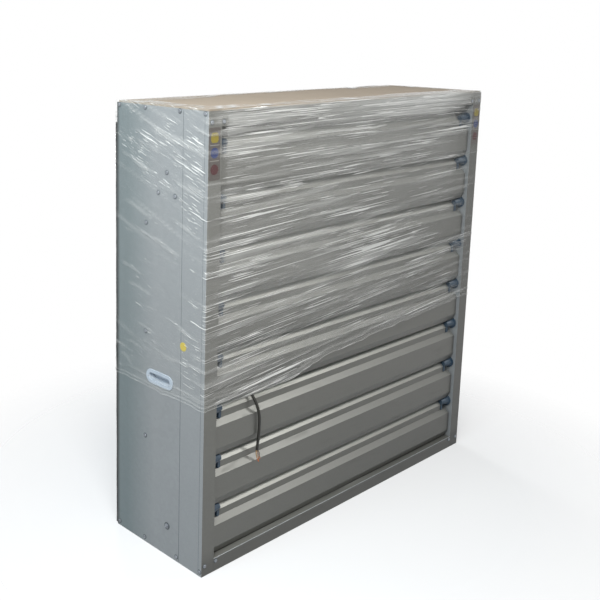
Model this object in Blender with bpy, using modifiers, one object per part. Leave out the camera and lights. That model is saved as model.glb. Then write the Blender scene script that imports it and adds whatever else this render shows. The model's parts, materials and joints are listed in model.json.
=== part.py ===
"""Belt-driven box exhaust fan with a gravity shutter, 1380 mm square and 400 mm deep.

+Z is up, +X is right seen from the shutter, and the shutter faces -Y.
The origin is under the middle of the casing, at the level it stands on.
"""

import math

import bmesh
import bpy
from mathutils import Matrix, Vector

# Casing, in metres
CASING_WIDTH = 1.380
CASING_HEIGHT = 1.380
CASING_DEPTH = 0.400
SHEET = 0.0012
GAP = 0.0003
OVERRUN = 0.010
REAR_FLANGE = 0.040
HALF_WIDTH = CASING_WIDTH / 2
FRONT = -CASING_DEPTH / 2
REAR = CASING_DEPTH / 2
INSIDE = HALF_WIDTH - SHEET - GAP
FLOOR = SHEET + GAP
CEILING = CASING_HEIGHT - SHEET - GAP
AXIS_HEIGHT = CASING_HEIGHT / 2

# Shutter frame, which wraps the front of the casing as far back as the seam
SHUTTER_DEPTH = 0.102
STILE_FACE = 0.050
RAIL_FACE = 0.042
STILE_RETURN = 0.045
RAIL_RETURN = 0.022
SEAM = FRONT + SHUTTER_DEPTH
STILE_INNER = HALF_WIDTH - STILE_FACE

# Shutter louvres: eight folded blades on plastic end pivots
LOUVRE_COUNT = 8
TOP_PIVOT_DROP = 0.0919
SILL_CLEARANCE = 0.0045
PIVOT_SET_BACK = 0.028
LOUVRE_SHEET = 0.0012
LOUVRE_END_CLEARANCE = 0.006
NOTCH_LENGTH = 0.036
FACE_FORWARD = 0.018
STEP_FORWARD = 0.0025
FLANGE_BACK = 0.020
TIP_BACK = 0.008
FLANGE_TOP = 0.024
SLOPE_TOP = 0.0115
STEP_TOP = 0.011
STEP_BOTTOM = 0.0315
FACE_TOP = 0.047
FACE_ABOVE_NEXT = 0.0403
TIP_ABOVE_NEXT = 0.0168
PIVOT_Y = FRONT + PIVOT_SET_BACK
LOUVRE_HALF = STILE_INNER - LOUVRE_END_CLEARANCE
NOTCH_EDGE = LOUVRE_HALF - NOTCH_LENGTH
SHUTTER_RISE = CASING_HEIGHT - TOP_PIVOT_DROP - RAIL_FACE - SILL_CLEARANCE
LOUVRE_PITCH = (SHUTTER_RISE + TIP_ABOVE_NEXT) / LOUVRE_COUNT
FACE_BOTTOM = LOUVRE_PITCH - FACE_ABOVE_NEXT
TIP_BOTTOM = LOUVRE_PITCH - TIP_ABOVE_NEXT
LOWEST_PIVOT = RAIL_FACE + SILL_CLEARANCE + TIP_BOTTOM

# Louvre end pivots
PIVOT_SIDES = 12
PIVOT_DISC_RADIUS = 0.021
PIVOT_DISC_WIDTH = 0.005
PIVOT_CONE_RADIUS = 0.017
PIVOT_NOSE_RADIUS = 0.010
PIVOT_PIN_RADIUS = 0.005
PIVOT_PIN_REACH = 0.012
PIVOT_HOLE_CLEARANCE = 0.0004
PIVOT_BLOCK_LENGTH = 0.010
PIVOT_BLOCK_HALF = 0.005
PIVOT_TAB_REACH = 0.032
PIVOT_TAB_THICKNESS = 0.004
PIVOT_TAB_RIM = 0.0015

# Tie bar behind the louvres, pinned to a lever on each one
LEVER_X = 0.300
LEVER_THICKNESS = 0.002
LEVER_BACK = 0.052
LEVER_LOW = 0.013
LEVER_HIGH = 0.036
CRANK_BACK = 0.046
CRANK_UP = 0.030
CRANK_PIN_RADIUS = 0.003
CRANK_HOLE_CLEARANCE = 0.0004
CRANK_HEAD_RADIUS = 0.0045
CRANK_HEAD_WIDTH = 0.002
TIE_BAR_THICKNESS = 0.003
TIE_BAR_WIDTH = 0.010
TIE_BAR_END = 0.010
TIE_BAR_PLAY = 0.0005
TIE_BAR_X = LEVER_X + LEVER_THICKNESS + TIE_BAR_PLAY

# Orifice plate with its bell mouth
PLATE_Y = 0.050
PLATE_FLANGE = 0.025
THROAT_MARGIN = 0.055
THROAT_RADIUS = min(CASING_WIDTH, CASING_HEIGHT) / 2 - THROAT_MARGIN
BELL_RADIUS = 0.036
BELL_SHEET = 0.0016
BELL_LAP = 0.009
BELL_LAP_PROUD = 0.0003
THROAT_LIP_Y = -0.055
BELL_SIDES = 56
BELL_ARC_STEPS = 3
BELL_SEAT_SHARE = 0.45

# Wire guard over the inlet
GUARD_THICKNESS = 0.004
GUARD_MARGIN = 0.006
GUARD_BORDER = 0.034
GUARD_BAR = 0.005
GUARD_OPENINGS = 7

# Hand cups in the two sides
CUP_Y = -0.005
CUP_DROP = 0.128
CUP_HEIGHT = AXIS_HEIGHT - CUP_DROP
CUP_RIM_LENGTH = 0.121
CUP_RIM_HEIGHT = 0.044
CUP_RIM_PROUD = 0.0025
CUP_BODY_LENGTH = 0.103
CUP_BODY_HEIGHT = 0.029
CUP_DEPTH = 0.024
CUP_WALL = 0.003
CUP_HOLE_CLEARANCE = 0.0005
CUP_ARC_STEPS = 8

# Drive column
COLUMN_WIDTH = 0.080
COLUMN_FRONT = 0.078
COLUMN_DEPTH = 0.040
COLUMN_SHEET = 0.003

# Bearing housing and bearings
HOUSING_RADIUS = 0.034
HOUSING_FRONT = 0.022
HOUSING_REAR = 0.122
HOUSING_FLANGE_RADIUS = 0.060
HOUSING_FLANGE = 0.010
HOUSING_WAIST_RADIUS = 0.020
HOUSING_HOLE_CLEARANCE = 0.001
BEARING_OUTER_RADIUS = 0.026
BEARING_WIDTH = 0.015
SHAFT_RADIUS = 0.0125
SHAFT_FRONT = -0.096
SHAFT_REAR = 0.176
SHAFT_CHAMFER = 0.0015
ROUND_SIDES = 24

# Pulleys and belt
BELT_Y = 0.160
FAN_PULLEY_RADIUS = 0.1915
MOTOR_PULLEY_RADIUS = 0.060
PULLEY_RIM_WIDTH = 0.024
PULLEY_RIM_DEPTH = 0.020
PULLEY_WEB = 0.006
PULLEY_HUB_RADIUS = 0.032
PULLEY_HUB_WIDTH = 0.044
PULLEY_HUB_REAR = 0.172
PULLEY_HOLE_RADIUS = 0.044
PULLEY_HOLE_CIRCLE = 0.104
PULLEY_HOLES = 5
PULLEY_SIDES = 36
BELT_WIDTH = 0.013
BELT_THICKNESS = 0.008
BELT_FLANK = math.radians(20)
BELT_SINK = 0.0005
GROOVE_CLEARANCE = 0.00045
GROOVE_DEPTH = 0.0115
BELT_ARC_STEP = math.radians(8)

# Impeller
BLADE_COUNT = 6
BLADE_PLANE = -0.064
TIP_CLEARANCE = 0.010
TIP_RADIUS = THROAT_RADIUS - TIP_CLEARANCE
ROOT_RADIUS = 0.095
TAB_RADIUS = 0.245
ROOT_CHORD = 0.100
TAB_CHORD = 0.130
TIP_CHORD = 0.220
ROOT_PITCH = math.radians(32)
TIP_PITCH = math.radians(21)
CAMBER_SHARE = 0.035
BLADE_SHEET = 0.0025
BLADE_TAB_STEPS = 2
BLADE_STEPS = 7
CHORD_STEPS = 4
HUB_RADIUS = 0.085
HUB_WIDTH = 0.030
ARM_RADIUS = 0.235
ARM_WIDTH = 0.046
ARM_THICKNESS = 0.004
ARM_ROOT = 0.070

# Motor, beside the column and above the fan axis
MOTOR_X = -0.185
MOTOR_SET_IN = 0.128
MOTOR_HEIGHT = AXIS_HEIGHT + THROAT_RADIUS - MOTOR_SET_IN
MOTOR_FRONT = -0.004
MOTOR_REAR = 0.134
MOTOR_CORE_RADIUS = 0.071
MOTOR_FIN = 0.006
MOTOR_FINS = 16
FIN_TURN_SHARE = 0.37
MOTOR_SHIELD = 0.022
MOTOR_SHIELD_RADIUS = 0.074
MOTOR_SHIELD_LAP = 0.002
MOTOR_NOSE_RADIUS = 0.040
MOTOR_NOSE = 0.008
MOTOR_SHAFT_RADIUS = 0.012
MOTOR_BORE_DEPTH = 0.075
MOTOR_PULLEY_HUB_RADIUS = 0.026
MOTOR_PULLEY_STEP = 0.002
MOTOR_PULLEY_WEB = 0.012
FOOT_HALF_HEIGHT = 0.050
FOOT_OUT = 0.0802
FOOT_X = MOTOR_X + FOOT_OUT
FOOT_THICKNESS = 0.016
FOOT_FRONT = 0.018
FOOT_REAR = 0.110
TERMINAL_OUT = 0.120
TERMINAL_X = MOTOR_X - TERMINAL_OUT
TERMINAL_DEPTH = 0.060
TERMINAL_FRONT = 0.084
TERMINAL_REAR = 0.128
TERMINAL_HALF_HEIGHT = 0.030
BRACKET_SHEET = 0.004
BRACKET_HALF_HEIGHT = 0.062
BRACKET_FRONT = 0.014
BRACKET_REAR = 0.116

# Junction box on the left side wall, and its leads
BOX_DEPTH = 0.058
BOX_WIDTH = 0.092
BOX_LENGTH = 0.120
BOX_TO_PLATE = 0.034
BOX_DROP = 0.165
BOX_REAR = PLATE_Y - BOX_TO_PLATE
BOX_FRONT = BOX_REAR - BOX_WIDTH
BOX_TOP = CASING_HEIGHT - BOX_DROP
BOX_BOTTOM = BOX_TOP - BOX_LENGTH
BOX_BEVEL = 0.004
GLAND_RADIUS = 0.010
GLAND_LENGTH = 0.020
GLAND_SET_IN = 0.034
GLAND_X = GLAND_SET_IN - HALF_WIDTH
GLAND_Y = (BOX_FRONT + BOX_REAR) / 2
GLAND_BORE_DEPTH = 0.012
GLAND_BORE_CLEARANCE = 0.0004
LEAD_RADIUS = 0.004
CORD_RADIUS = 0.0045
LEAD_HOLE_SET_IN = 0.100
LEAD_HOLE_DROP = 0.118
LEAD_HOLE_X = LEAD_HOLE_SET_IN - HALF_WIDTH
LEAD_HOLE_HEIGHT = CASING_HEIGHT - LEAD_HOLE_DROP
LEAD_HOLE_RADIUS = 0.009
LEAD_SPACING = 0.016
CORD_SPACING = 0.018
TAIL_SPACING_SHARE = 0.65

# Motor lead: how far across to the plate's hole, how far behind the plate, and how far it sags
TERMINAL_EXIT_RISE = 0.003
MOTOR_LEAD_SHARES = [0.0, 0.0868, 0.2097, 0.3678, 0.5258, 0.6839, 0.8244, 0.9368, 0.9930]
MOTOR_LEAD_SAGS = [
    (0.056, 0.0),
    (0.056, 0.0064),
    (0.057, 0.0230),
    (0.059, 0.0428),
    (0.060, 0.0506),
    (0.060, 0.0444),
    (0.054, 0.0271),
    (0.035, 0.0081),
    (0.012, 0.0006),
]
# Bend of the motor lead from the plate's hole to the upper gland, measured from the gland's mouth
MOTOR_LEAD_BEND = [
    (0.066, 0.080, 0.0387),
    (0.062, 0.054, 0.0417),
    (0.053, 0.031, 0.0507),
    (0.034, 0.012, 0.0607),
    (0.011, 0.001, 0.0617),
    (0.0, 0.0, 0.0457),
    (0.0, 0.0, 0.0227),
    (0.0, 0.0, 0.0),
]

# Supply cord, as shares of the way from the lower gland to the louvre that the cord hangs over
CORD_LOUVRE = 6
CORD_SET_IN = 0.218
CORD_BEHIND_PIVOT = 0.010
CORD_ABOVE_PIVOT = 0.0541
CORD_X = CORD_SET_IN - HALF_WIDTH
SUPPLY_LEAD_SHARES = [
    (0.0, 0.0, 0.0),
    (0.0, 0.0, 0.0428),
    (0.0, 0.0, 0.0880),
    (-0.0054, 0.0152, 0.1634),
    (-0.0109, 0.0909, 0.2670),
    (-0.0109, 0.2424, 0.3706),
    (-0.0054, 0.4242, 0.4686),
    (0.0272, 0.5833, 0.5553),
    (0.1304, 0.6742, 0.6344),
    (0.3043, 0.7045, 0.7023),
    (0.5109, 0.7121, 0.7550),
    (0.7174, 0.7121, 0.8059),
    (0.8804, 0.7652, 0.8417),
    (0.9728, 0.9015, 0.8813),
    (1.0, 1.0, 0.9171),
    (1.0, 1.0, 0.9585),
    (1.0, 1.0, 1.0),
]
# End of the cord, measured from the louvre's pivot axis at the place where the cord lies
CORD_TAIL_ROUTE = [
    (0.0, 0.0100, 0.0541),
    (0.0, 0.0100, 0.0414),
    (0.0007, 0.0068, 0.0284),
    (0.0025, -0.0018, 0.0104),
    (0.0050, -0.0140, -0.0046),
    (0.0080, -0.0220, -0.0216),
    (0.0130, -0.0255, -0.0416),
    (0.0170, -0.0265, -0.0646),
    (0.0180, -0.0260, -0.0916),
    (0.0170, -0.0252, -0.1186),
    (0.0145, -0.0245, -0.1466),
    (0.0130, -0.0240, -0.1686),
]

# Sheet of corrugated card that lies on the top
CARD_THICKNESS = 0.005
CARD_MARGIN = 0.004

# Colours are linear red, green and blue, with a roughness and a metallic value
FINISHES = {
    "galvanised": ((0.42, 0.44, 0.45), 0.45, 0.9),
    "shutter_sheet": ((0.40, 0.40, 0.38), 0.45, 0.9),
    "blue_plastic": ((0.04, 0.11, 0.22), 0.45, 0.0),
    "white_plastic": ((0.62, 0.66, 0.70), 0.40, 0.0),
    "blade_steel": ((0.55, 0.56, 0.57), 0.30, 1.0),
    "cast_metal": ((0.16, 0.17, 0.18), 0.60, 0.6),
    "bright_steel": ((0.55, 0.55, 0.56), 0.25, 1.0),
    "motor_paint": ((0.05, 0.13, 0.22), 0.45, 0.1),
    "belt_rubber": ((0.015, 0.015, 0.016), 0.80, 0.0),
    "cable_black": ((0.012, 0.012, 0.013), 0.50, 0.0),
    "box_plastic": ((0.35, 0.36, 0.37), 0.50, 0.0),
    "card": ((0.42, 0.33, 0.24), 0.90, 0.0),
}

TO_Y_AXIS = (-math.pi / 2, 0.0, 0.0)
TO_X_AXIS = (0.0, math.pi / 2, 0.0)


def clear_scene():
    for obj in list(bpy.data.objects):
        bpy.data.objects.remove(obj, do_unlink=True)


def new_collection(name):
    collection = bpy.data.collections.new(name)
    bpy.context.scene.collection.children.link(collection)
    return collection


def make_materials():
    made = {}
    for name, (colour, roughness, metallic) in FINISHES.items():
        material = bpy.data.materials.new(name)
        material.use_nodes = True
        shader = material.node_tree.nodes["Principled BSDF"]
        shader.inputs["Base Color"].default_value = (*colour, 1.0)
        shader.inputs["Roughness"].default_value = roughness
        shader.inputs["Metallic"].default_value = metallic
        made[name] = material
    return made


def add_part(name, data, finish, location=(0, 0, 0), rotation=(0, 0, 0), parent=None):
    """Puts mesh or curve data in the fan's collection as one named sub-part."""
    obj = bpy.data.objects.new(name, data)
    obj.location = location
    obj.rotation_euler = rotation
    if not data.materials:
        data.materials.append(MATERIALS[finish])
    PARTS.objects.link(obj)
    if parent is not None:
        obj.parent = parent
        obj.location = Vector(location) - parent.location
    return obj


def add_cutter(name, data, location=(0, 0, 0), rotation=(0, 0, 0)):
    """Puts a helper shape among the cutters, which are no parts of the fan."""
    obj = bpy.data.objects.new(name, data)
    obj.location = location
    obj.rotation_euler = rotation
    obj.hide_render = True
    obj.display_type = "WIRE"
    CUTTERS.objects.link(obj)
    return obj


def combine(target, helper, operation="UNION"):
    modifier = target.modifiers.new(f"{operation.lower()} {helper.name}", "BOOLEAN")
    modifier.operation = operation
    modifier.solver = "EXACT"
    modifier.object = helper


def add_axis(name, location):
    """An empty that stands on a joint's axis and carries what turns about it."""
    empty = bpy.data.objects.new(name, None)
    empty.location = location
    PARTS.objects.link(empty)
    return empty


def box_mesh(name, low, high):
    """A box between two corners."""
    mesh = bpy.data.meshes.new(name)
    bm = bmesh.new()
    middle = (Vector(low) + Vector(high)) / 2
    size = Vector(high) - Vector(low)
    bmesh.ops.create_cube(bm, size=1.0, matrix=Matrix.Translation(middle) @ Matrix.Diagonal((*size, 1)))
    bm.to_mesh(mesh)
    bm.free()
    return mesh


def rods_mesh(name, centres, radius, length, sides, direction):
    """Separate round rods of one size, side by side, all along one direction."""
    mesh = bpy.data.meshes.new(name)
    bm = bmesh.new()
    turn = Vector((0, 0, 1)).rotation_difference(Vector(direction)).to_matrix().to_4x4()
    for centre in centres:
        bmesh.ops.create_cone(
            bm,
            cap_ends=True,
            segments=sides,
            radius1=radius,
            radius2=radius,
            depth=length,
            matrix=Matrix.Translation(centre) @ turn,
        )
    bm.to_mesh(mesh)
    bm.free()
    return mesh


def profile_mesh(name, profile, closed):
    """A line of (radius, along) points, ready to be turned about the local Z axis."""
    mesh = bpy.data.meshes.new(name)
    edges = [(i, i + 1) for i in range(len(profile) - 1)]
    if closed:
        edges.append((len(profile) - 1, 0))
    mesh.from_pydata([(radius, 0.0, along) for radius, along in profile], edges, [])
    return mesh


def add_screw(obj, sides):
    screw = obj.modifiers.new("turned", "SCREW")
    screw.steps = sides
    screw.render_steps = sides
    screw.use_merge_vertices = True
    screw.merge_threshold = 0.00001


def smooth_round(mesh):
    mesh.shade_smooth()
    mesh.set_sharp_from_angle(angle=math.radians(35))


def baked(obj):
    """The object's evaluated mesh as a new mesh; the object itself is removed."""
    bpy.context.view_layer.update()
    graph = bpy.context.evaluated_depsgraph_get()
    mesh = bpy.data.meshes.new_from_object(obj.evaluated_get(graph))
    bpy.data.objects.remove(obj, do_unlink=True)
    return mesh


def turned_mesh(name, profile, sides, closed=True):
    obj = add_cutter(f"{name} profile", profile_mesh(name, profile, closed))
    add_screw(obj, sides)
    mesh = baked(obj)
    mesh.name = name
    smooth_round(mesh)
    return mesh


def sheet_mesh(name, profile, stations, along, dropped=None):
    """An open surface: a folded profile carried along one axis, station by station.

    profile holds (first, second) places on the two other axes, in the order X, Y, Z.
    dropped says which (profile step, station step) faces are left out, as at a notch.
    """
    mesh = bpy.data.meshes.new(name)
    bm = bmesh.new()
    columns = len(stations) - 1
    rows = len(profile) - 1
    bmesh.ops.create_grid(bm, x_segments=columns, y_segments=rows, size=1.0)
    place = {}
    for vert in bm.verts:
        column = round((vert.co.x + 1) / 2 * columns)
        row = round((vert.co.y + 1) / 2 * rows)
        place[vert] = (row, column)
    if dropped is not None:
        lost = []
        for face in bm.faces:
            row = min(place[vert][0] for vert in face.verts)
            column = min(place[vert][1] for vert in face.verts)
            if dropped(row, column):
                lost.append(face)
        bmesh.ops.delete(bm, geom=lost, context="FACES")
    axis = "XYZ".index(along)
    for vert in bm.verts:
        row, column = place[vert]
        point = list(profile[row])
        point.insert(axis, stations[column])
        vert.co = point
    bm.to_mesh(mesh)
    bm.free()
    return mesh


def add_solidify(obj, thickness, offset):
    solidify = obj.modifiers.new("sheet", "SOLIDIFY")
    solidify.solidify_mode = "NON_MANIFOLD"
    solidify.nonmanifold_thickness_mode = "CONSTRAINTS"
    solidify.thickness = thickness
    solidify.offset = offset


def outline_mesh(name, loops, thickness):
    """A flat plate in the local XY plane from closed outlines, the later ones being holes."""
    curve = bpy.data.curves.new(name, "CURVE")
    curve.dimensions = "2D"
    curve.fill_mode = "BOTH"
    curve.extrude = thickness / 2
    for loop in loops:
        spline = curve.splines.new("POLY")
        spline.points.add(len(loop) - 1)
        for point, (x, y) in zip(spline.points, loop):
            point.co = (x, y, 0, 1)
        spline.use_cyclic_u = True
    obj = add_cutter(f"{name} outline", curve)
    mesh = baked(obj)
    mesh.name = name
    bm = bmesh.new()
    bm.from_mesh(mesh)
    bmesh.ops.remove_doubles(bm, verts=bm.verts, dist=0.00001)
    bmesh.ops.recalc_face_normals(bm, faces=bm.faces)
    bm.to_mesh(mesh)
    bm.free()
    return mesh


def racetrack(length, height, steps):
    """An outline with two straight sides and two round ends."""
    radius = height / 2
    centre = length / 2 - radius
    points = []
    for side, start in ((1, -math.pi / 2), (-1, math.pi / 2)):
        for i in range(steps + 1):
            angle = start + math.pi * i / steps
            points.append((side * centre + radius * math.cos(angle), radius * math.sin(angle)))
    return points


def smooth_route(route, spacing):
    """Evenly spaced points on a smooth curve through the route's own points."""
    knots = [Vector(p) for p in route]
    ends = [2 * knots[0] - knots[1], *knots, 2 * knots[-1] - knots[-2]]
    fine = []
    steps = 24
    for i in range(1, len(ends) - 2):
        a, b, c, d = ends[i - 1 : i + 3]
        for k in range(steps):
            t = k / steps
            fine.append(
                (2 * b + (c - a) * t + (2 * a - 5 * b + 4 * c - d) * t**2 + (3 * b - a - 3 * c + d) * t**3) / 2
            )
    fine.append(knots[-1])
    reach = [0.0]
    for a, b in zip(fine, fine[1:]):
        reach.append(reach[-1] + (b - a).length)
    count = max(2, round(reach[-1] / spacing))
    points = []
    j = 0
    for i in range(count + 1):
        want = reach[-1] * i / count
        while j < len(reach) - 2 and reach[j + 1] < want:
            j += 1
        share = (want - reach[j]) / max(reach[j + 1] - reach[j], 1e-12)
        points.append(fine[j].lerp(fine[j + 1], min(1.0, share)))
    return points


def tube_curve(name, points, radius):
    curve = bpy.data.curves.new(name, "CURVE")
    curve.dimensions = "3D"
    curve.bevel_depth = radius
    curve.bevel_resolution = 2
    curve.use_fill_caps = True
    spline = curve.splines.new("POLY")
    spline.points.add(len(points) - 1)
    for point, place in zip(spline.points, points):
        point.co = (*place, 1)
    return curve


def louvre_height(number):
    """Height of a louvre's pivot axis; louvre 1 is the top one."""
    return LOWEST_PIVOT + LOUVRE_PITCH * (LOUVRE_COUNT - number)


def make_side_panel(name, side):
    """One side of the casing, with its rear flange and the hole for the hand cup."""
    outer = side * HALF_WIDTH
    profile = [
        (outer, SEAM + GAP),
        (outer, REAR),
        (outer - side * REAR_FLANGE, REAR),
    ]
    if side < 0:
        profile.reverse()
    stations = [0.0, FLOOR, CEILING, CASING_HEIGHT]
    flange_row = 1 if side > 0 else 0
    mesh = sheet_mesh(name, profile, stations, "Z", lambda row, column: row == flange_row and column != 1)
    panel = add_part(name, mesh, "galvanised")
    add_solidify(panel, SHEET, 1)
    hole = racetrack(
        CUP_BODY_LENGTH + 2 * CUP_HOLE_CLEARANCE,
        CUP_BODY_HEIGHT + 2 * CUP_HOLE_CLEARANCE,
        CUP_ARC_STEPS,
    )
    cutter = add_cutter(
        f"{name} hand hole",
        outline_mesh(f"{name} hand hole", [hole], 2 * OVERRUN),
        (outer, CUP_Y, CUP_HEIGHT),
        (math.pi / 2, 0.0, math.pi / 2),
    )
    combine(panel, cutter, "DIFFERENCE")


def make_hand_cup(name, side):
    """A moulded pull cup: a rim outside the panel and a shallow pocket behind it."""
    outer = side * (HALF_WIDTH + GAP)
    rim = outline_mesh(f"{name} rim", [racetrack(CUP_RIM_LENGTH, CUP_RIM_HEIGHT, CUP_ARC_STEPS)], CUP_RIM_PROUD)
    turn = (math.pi / 2, 0.0, math.pi / 2)
    cup = add_part(name, rim, "white_plastic", (outer + side * CUP_RIM_PROUD / 2, CUP_Y, CUP_HEIGHT), turn)
    depth = CUP_DEPTH + CUP_RIM_PROUD / 2
    body = add_cutter(
        f"{name} body",
        outline_mesh(f"{name} body", [racetrack(CUP_BODY_LENGTH, CUP_BODY_HEIGHT, CUP_ARC_STEPS)], depth),
        (outer + side * (CUP_RIM_PROUD / 2 - depth / 2), CUP_Y, CUP_HEIGHT),
        turn,
    )
    combine(cup, body)
    inner = racetrack(CUP_BODY_LENGTH - 2 * CUP_WALL, CUP_BODY_HEIGHT - 2 * CUP_WALL, CUP_ARC_STEPS)
    reach = CUP_DEPTH - CUP_WALL + CUP_RIM_PROUD + OVERRUN
    pocket = add_cutter(
        f"{name} pocket",
        outline_mesh(f"{name} pocket", [inner], reach),
        (outer - side * (CUP_DEPTH - CUP_WALL - reach / 2), CUP_Y, CUP_HEIGHT),
        turn,
    )
    combine(cup, pocket, "DIFFERENCE")


def make_level_panel(name, top):
    """The casing's top or bottom sheet, with its rear flange."""
    level = CASING_HEIGHT if top else 0.0
    turned = level - REAR_FLANGE if top else level + REAR_FLANGE
    profile = [(SEAM + GAP, level), (REAR, level), (REAR, turned)]
    if top:
        profile.reverse()
    flange = HALF_WIDTH - REAR_FLANGE - GAP
    stations = [-INSIDE, -flange, flange, INSIDE]
    flange_row = 0 if top else 1
    mesh = sheet_mesh(name, profile, stations, "X", lambda row, column: row == flange_row and column != 1)
    panel = add_part(name, mesh, "galvanised")
    add_solidify(panel, SHEET, 1)


def make_stile(name, side):
    """Upright of the shutter frame: side wall, face and the return that holds the pivots."""
    outer = side * HALF_WIDTH
    inner = side * STILE_INNER
    profile = [
        (inner, FRONT + STILE_RETURN),
        (inner, FRONT),
        (outer, FRONT),
        (outer, SEAM),
    ]
    if side < 0:
        profile.reverse()
    mesh = sheet_mesh(name, profile, [0.0, CASING_HEIGHT], "Z")
    stile = add_part(name, mesh, "shutter_sheet")
    add_solidify(stile, SHEET, 1)
    centres = [(inner, PIVOT_Y, louvre_height(k)) for k in range(1, LOUVRE_COUNT + 1)]
    holes = rods_mesh(
        f"{name} pivot holes",
        centres,
        PIVOT_PIN_RADIUS + PIVOT_HOLE_CLEARANCE,
        2 * OVERRUN,
        PIVOT_SIDES,
        (1, 0, 0),
    )
    combine(stile, add_cutter(f"{name} pivot holes", holes), "DIFFERENCE")


def make_rail(name, top):
    """Cross member of the shutter frame: outer wall, face and the sill behind its lip."""
    level = CASING_HEIGHT if top else 0.0
    sign = -1 if top else 1
    lip = level + sign * RAIL_FACE
    profile = [
        (SEAM, level),
        (FRONT + STILE_RETURN + GAP, level),
        (FRONT, level),
        (FRONT, lip),
        (FRONT + RAIL_RETURN, lip),
    ]
    if top:
        profile.reverse()
    between = STILE_INNER - GAP
    stations = [-INSIDE, -between, between, INSIDE]
    wall_row = len(profile) - 2 if top else 0
    mesh = sheet_mesh(name, profile, stations, "X", lambda row, column: row != wall_row and column != 1)
    rail = add_part(name, mesh, "shutter_sheet")
    add_solidify(rail, SHEET, -1)


def louvre_profile():
    """Folds of a louvre from its top flange to its lower tip, about its pivot axis."""
    return [
        (FLANGE_BACK, FLANGE_TOP),
        (FLANGE_BACK, SLOPE_TOP),
        (-STEP_FORWARD, -STEP_TOP),
        (-STEP_FORWARD, -STEP_BOTTOM),
        (-FACE_FORWARD, -FACE_TOP),
        (-FACE_FORWARD, -FACE_BOTTOM),
        (-TIP_BACK, -TIP_BOTTOM),
    ]


def make_louvre_mesh():
    """A louvre blade notched at both ends for its pivots, with the lever of the tie bar."""
    stations = [-LOUVRE_HALF, -NOTCH_EDGE, NOTCH_EDGE, LOUVRE_HALF]
    notch_rows = 3
    mesh = sheet_mesh(
        "louvre",
        louvre_profile(),
        stations,
        "X",
        lambda row, column: row < notch_rows and column != 1,
    )
    blade = add_cutter("louvre blade", mesh)
    add_solidify(blade, LOUVRE_SHEET, 1)
    overlap = LOUVRE_SHEET / 2
    lever = box_mesh(
        "lever",
        (LEVER_X, FLANGE_BACK + overlap, LEVER_LOW),
        (LEVER_X + LEVER_THICKNESS, LEVER_BACK, LEVER_HIGH),
    )
    start = LEVER_X + LEVER_THICKNESS / 2
    head_start = TIE_BAR_X + TIE_BAR_THICKNESS + TIE_BAR_PLAY
    end = head_start + CRANK_HEAD_WIDTH
    pin = turned_mesh(
        "crank pin",
        [
            (0.0, end),
            (CRANK_HEAD_RADIUS, end),
            (CRANK_HEAD_RADIUS, head_start),
            (CRANK_PIN_RADIUS, head_start),
            (CRANK_PIN_RADIUS, start),
            (0.0, start),
        ],
        PIVOT_SIDES,
        closed=False,
    )
    lever_helper = add_cutter("lever", lever)
    pin_helper = add_cutter("crank pin", pin, (0.0, CRANK_BACK, CRANK_UP), TO_X_AXIS)
    combine(blade, lever_helper)
    combine(blade, pin_helper)
    made = baked(blade)
    made.name = "louvre"
    for helper in (lever_helper, pin_helper):
        bpy.data.objects.remove(helper, do_unlink=True)
    return made


def make_pivot_mesh(side):
    """Moulded louvre end: journal pin, disc, tapered nose and the tab behind the sheet."""
    disc_end = STILE_INNER - GAP
    disc_start = disc_end - PIVOT_DISC_WIDTH
    nose = NOTCH_EDGE + GAP
    tip = STILE_INNER + PIVOT_PIN_REACH
    profile = [
        (0.0, tip),
        (PIVOT_PIN_RADIUS, tip),
        (PIVOT_PIN_RADIUS, disc_end),
        (PIVOT_DISC_RADIUS, disc_end),
        (PIVOT_DISC_RADIUS, disc_start),
        (PIVOT_CONE_RADIUS, disc_start),
        (PIVOT_NOSE_RADIUS, nose),
        (0.0, nose),
    ]
    body = add_cutter("pivot body", turned_mesh("pivot body", profile, PIVOT_SIDES, closed=False), rotation=TO_X_AXIS)
    block = box_mesh(
        "pivot block",
        (nose, -PIVOT_BLOCK_HALF, -STEP_BOTTOM + PIVOT_TAB_RIM),
        (nose + PIVOT_BLOCK_LENGTH, PIVOT_BLOCK_HALF, 0.0),
    )
    behind = -STEP_FORWARD + LOUVRE_SHEET + GAP
    tab = box_mesh(
        "pivot tab",
        (nose - PIVOT_TAB_REACH, behind, -STEP_BOTTOM + 2 * PIVOT_TAB_RIM),
        (nose + PIVOT_BLOCK_LENGTH / 2, behind + PIVOT_TAB_THICKNESS, -STEP_TOP - PIVOT_TAB_RIM),
    )
    helpers = [add_cutter("pivot block", block), add_cutter("pivot tab", tab)]
    for helper in helpers:
        combine(body, helper)
    mesh = baked(body)
    mesh.transform(Matrix.Rotation(math.pi / 2, 4, "Y"))
    mesh.name = "pivot"
    for helper in helpers:
        bpy.data.objects.remove(helper, do_unlink=True)
    if side < 0:
        mesh.transform(Matrix.Diagonal((-1, 1, 1, 1)))
        mesh.flip_normals()
    return mesh


def make_shutter():
    """Eight louvres with their end pivots, each turning about its own axis, and the tie bar."""
    louvre = make_louvre_mesh()
    pivots = {"left": make_pivot_mesh(-1), "right": make_pivot_mesh(1)}
    for k in range(1, LOUVRE_COUNT + 1):
        axis = add_axis(f"louvre_{k}_axis", (0.0, PIVOT_Y, louvre_height(k)))
        add_part(f"louvre_{k}", louvre, "shutter_sheet", axis.location, parent=axis)
        for end, mesh in pivots.items():
            add_part(f"pivot_{end}_{k}", mesh, "blue_plastic", axis.location, parent=axis)
    make_tie_bar()


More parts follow.
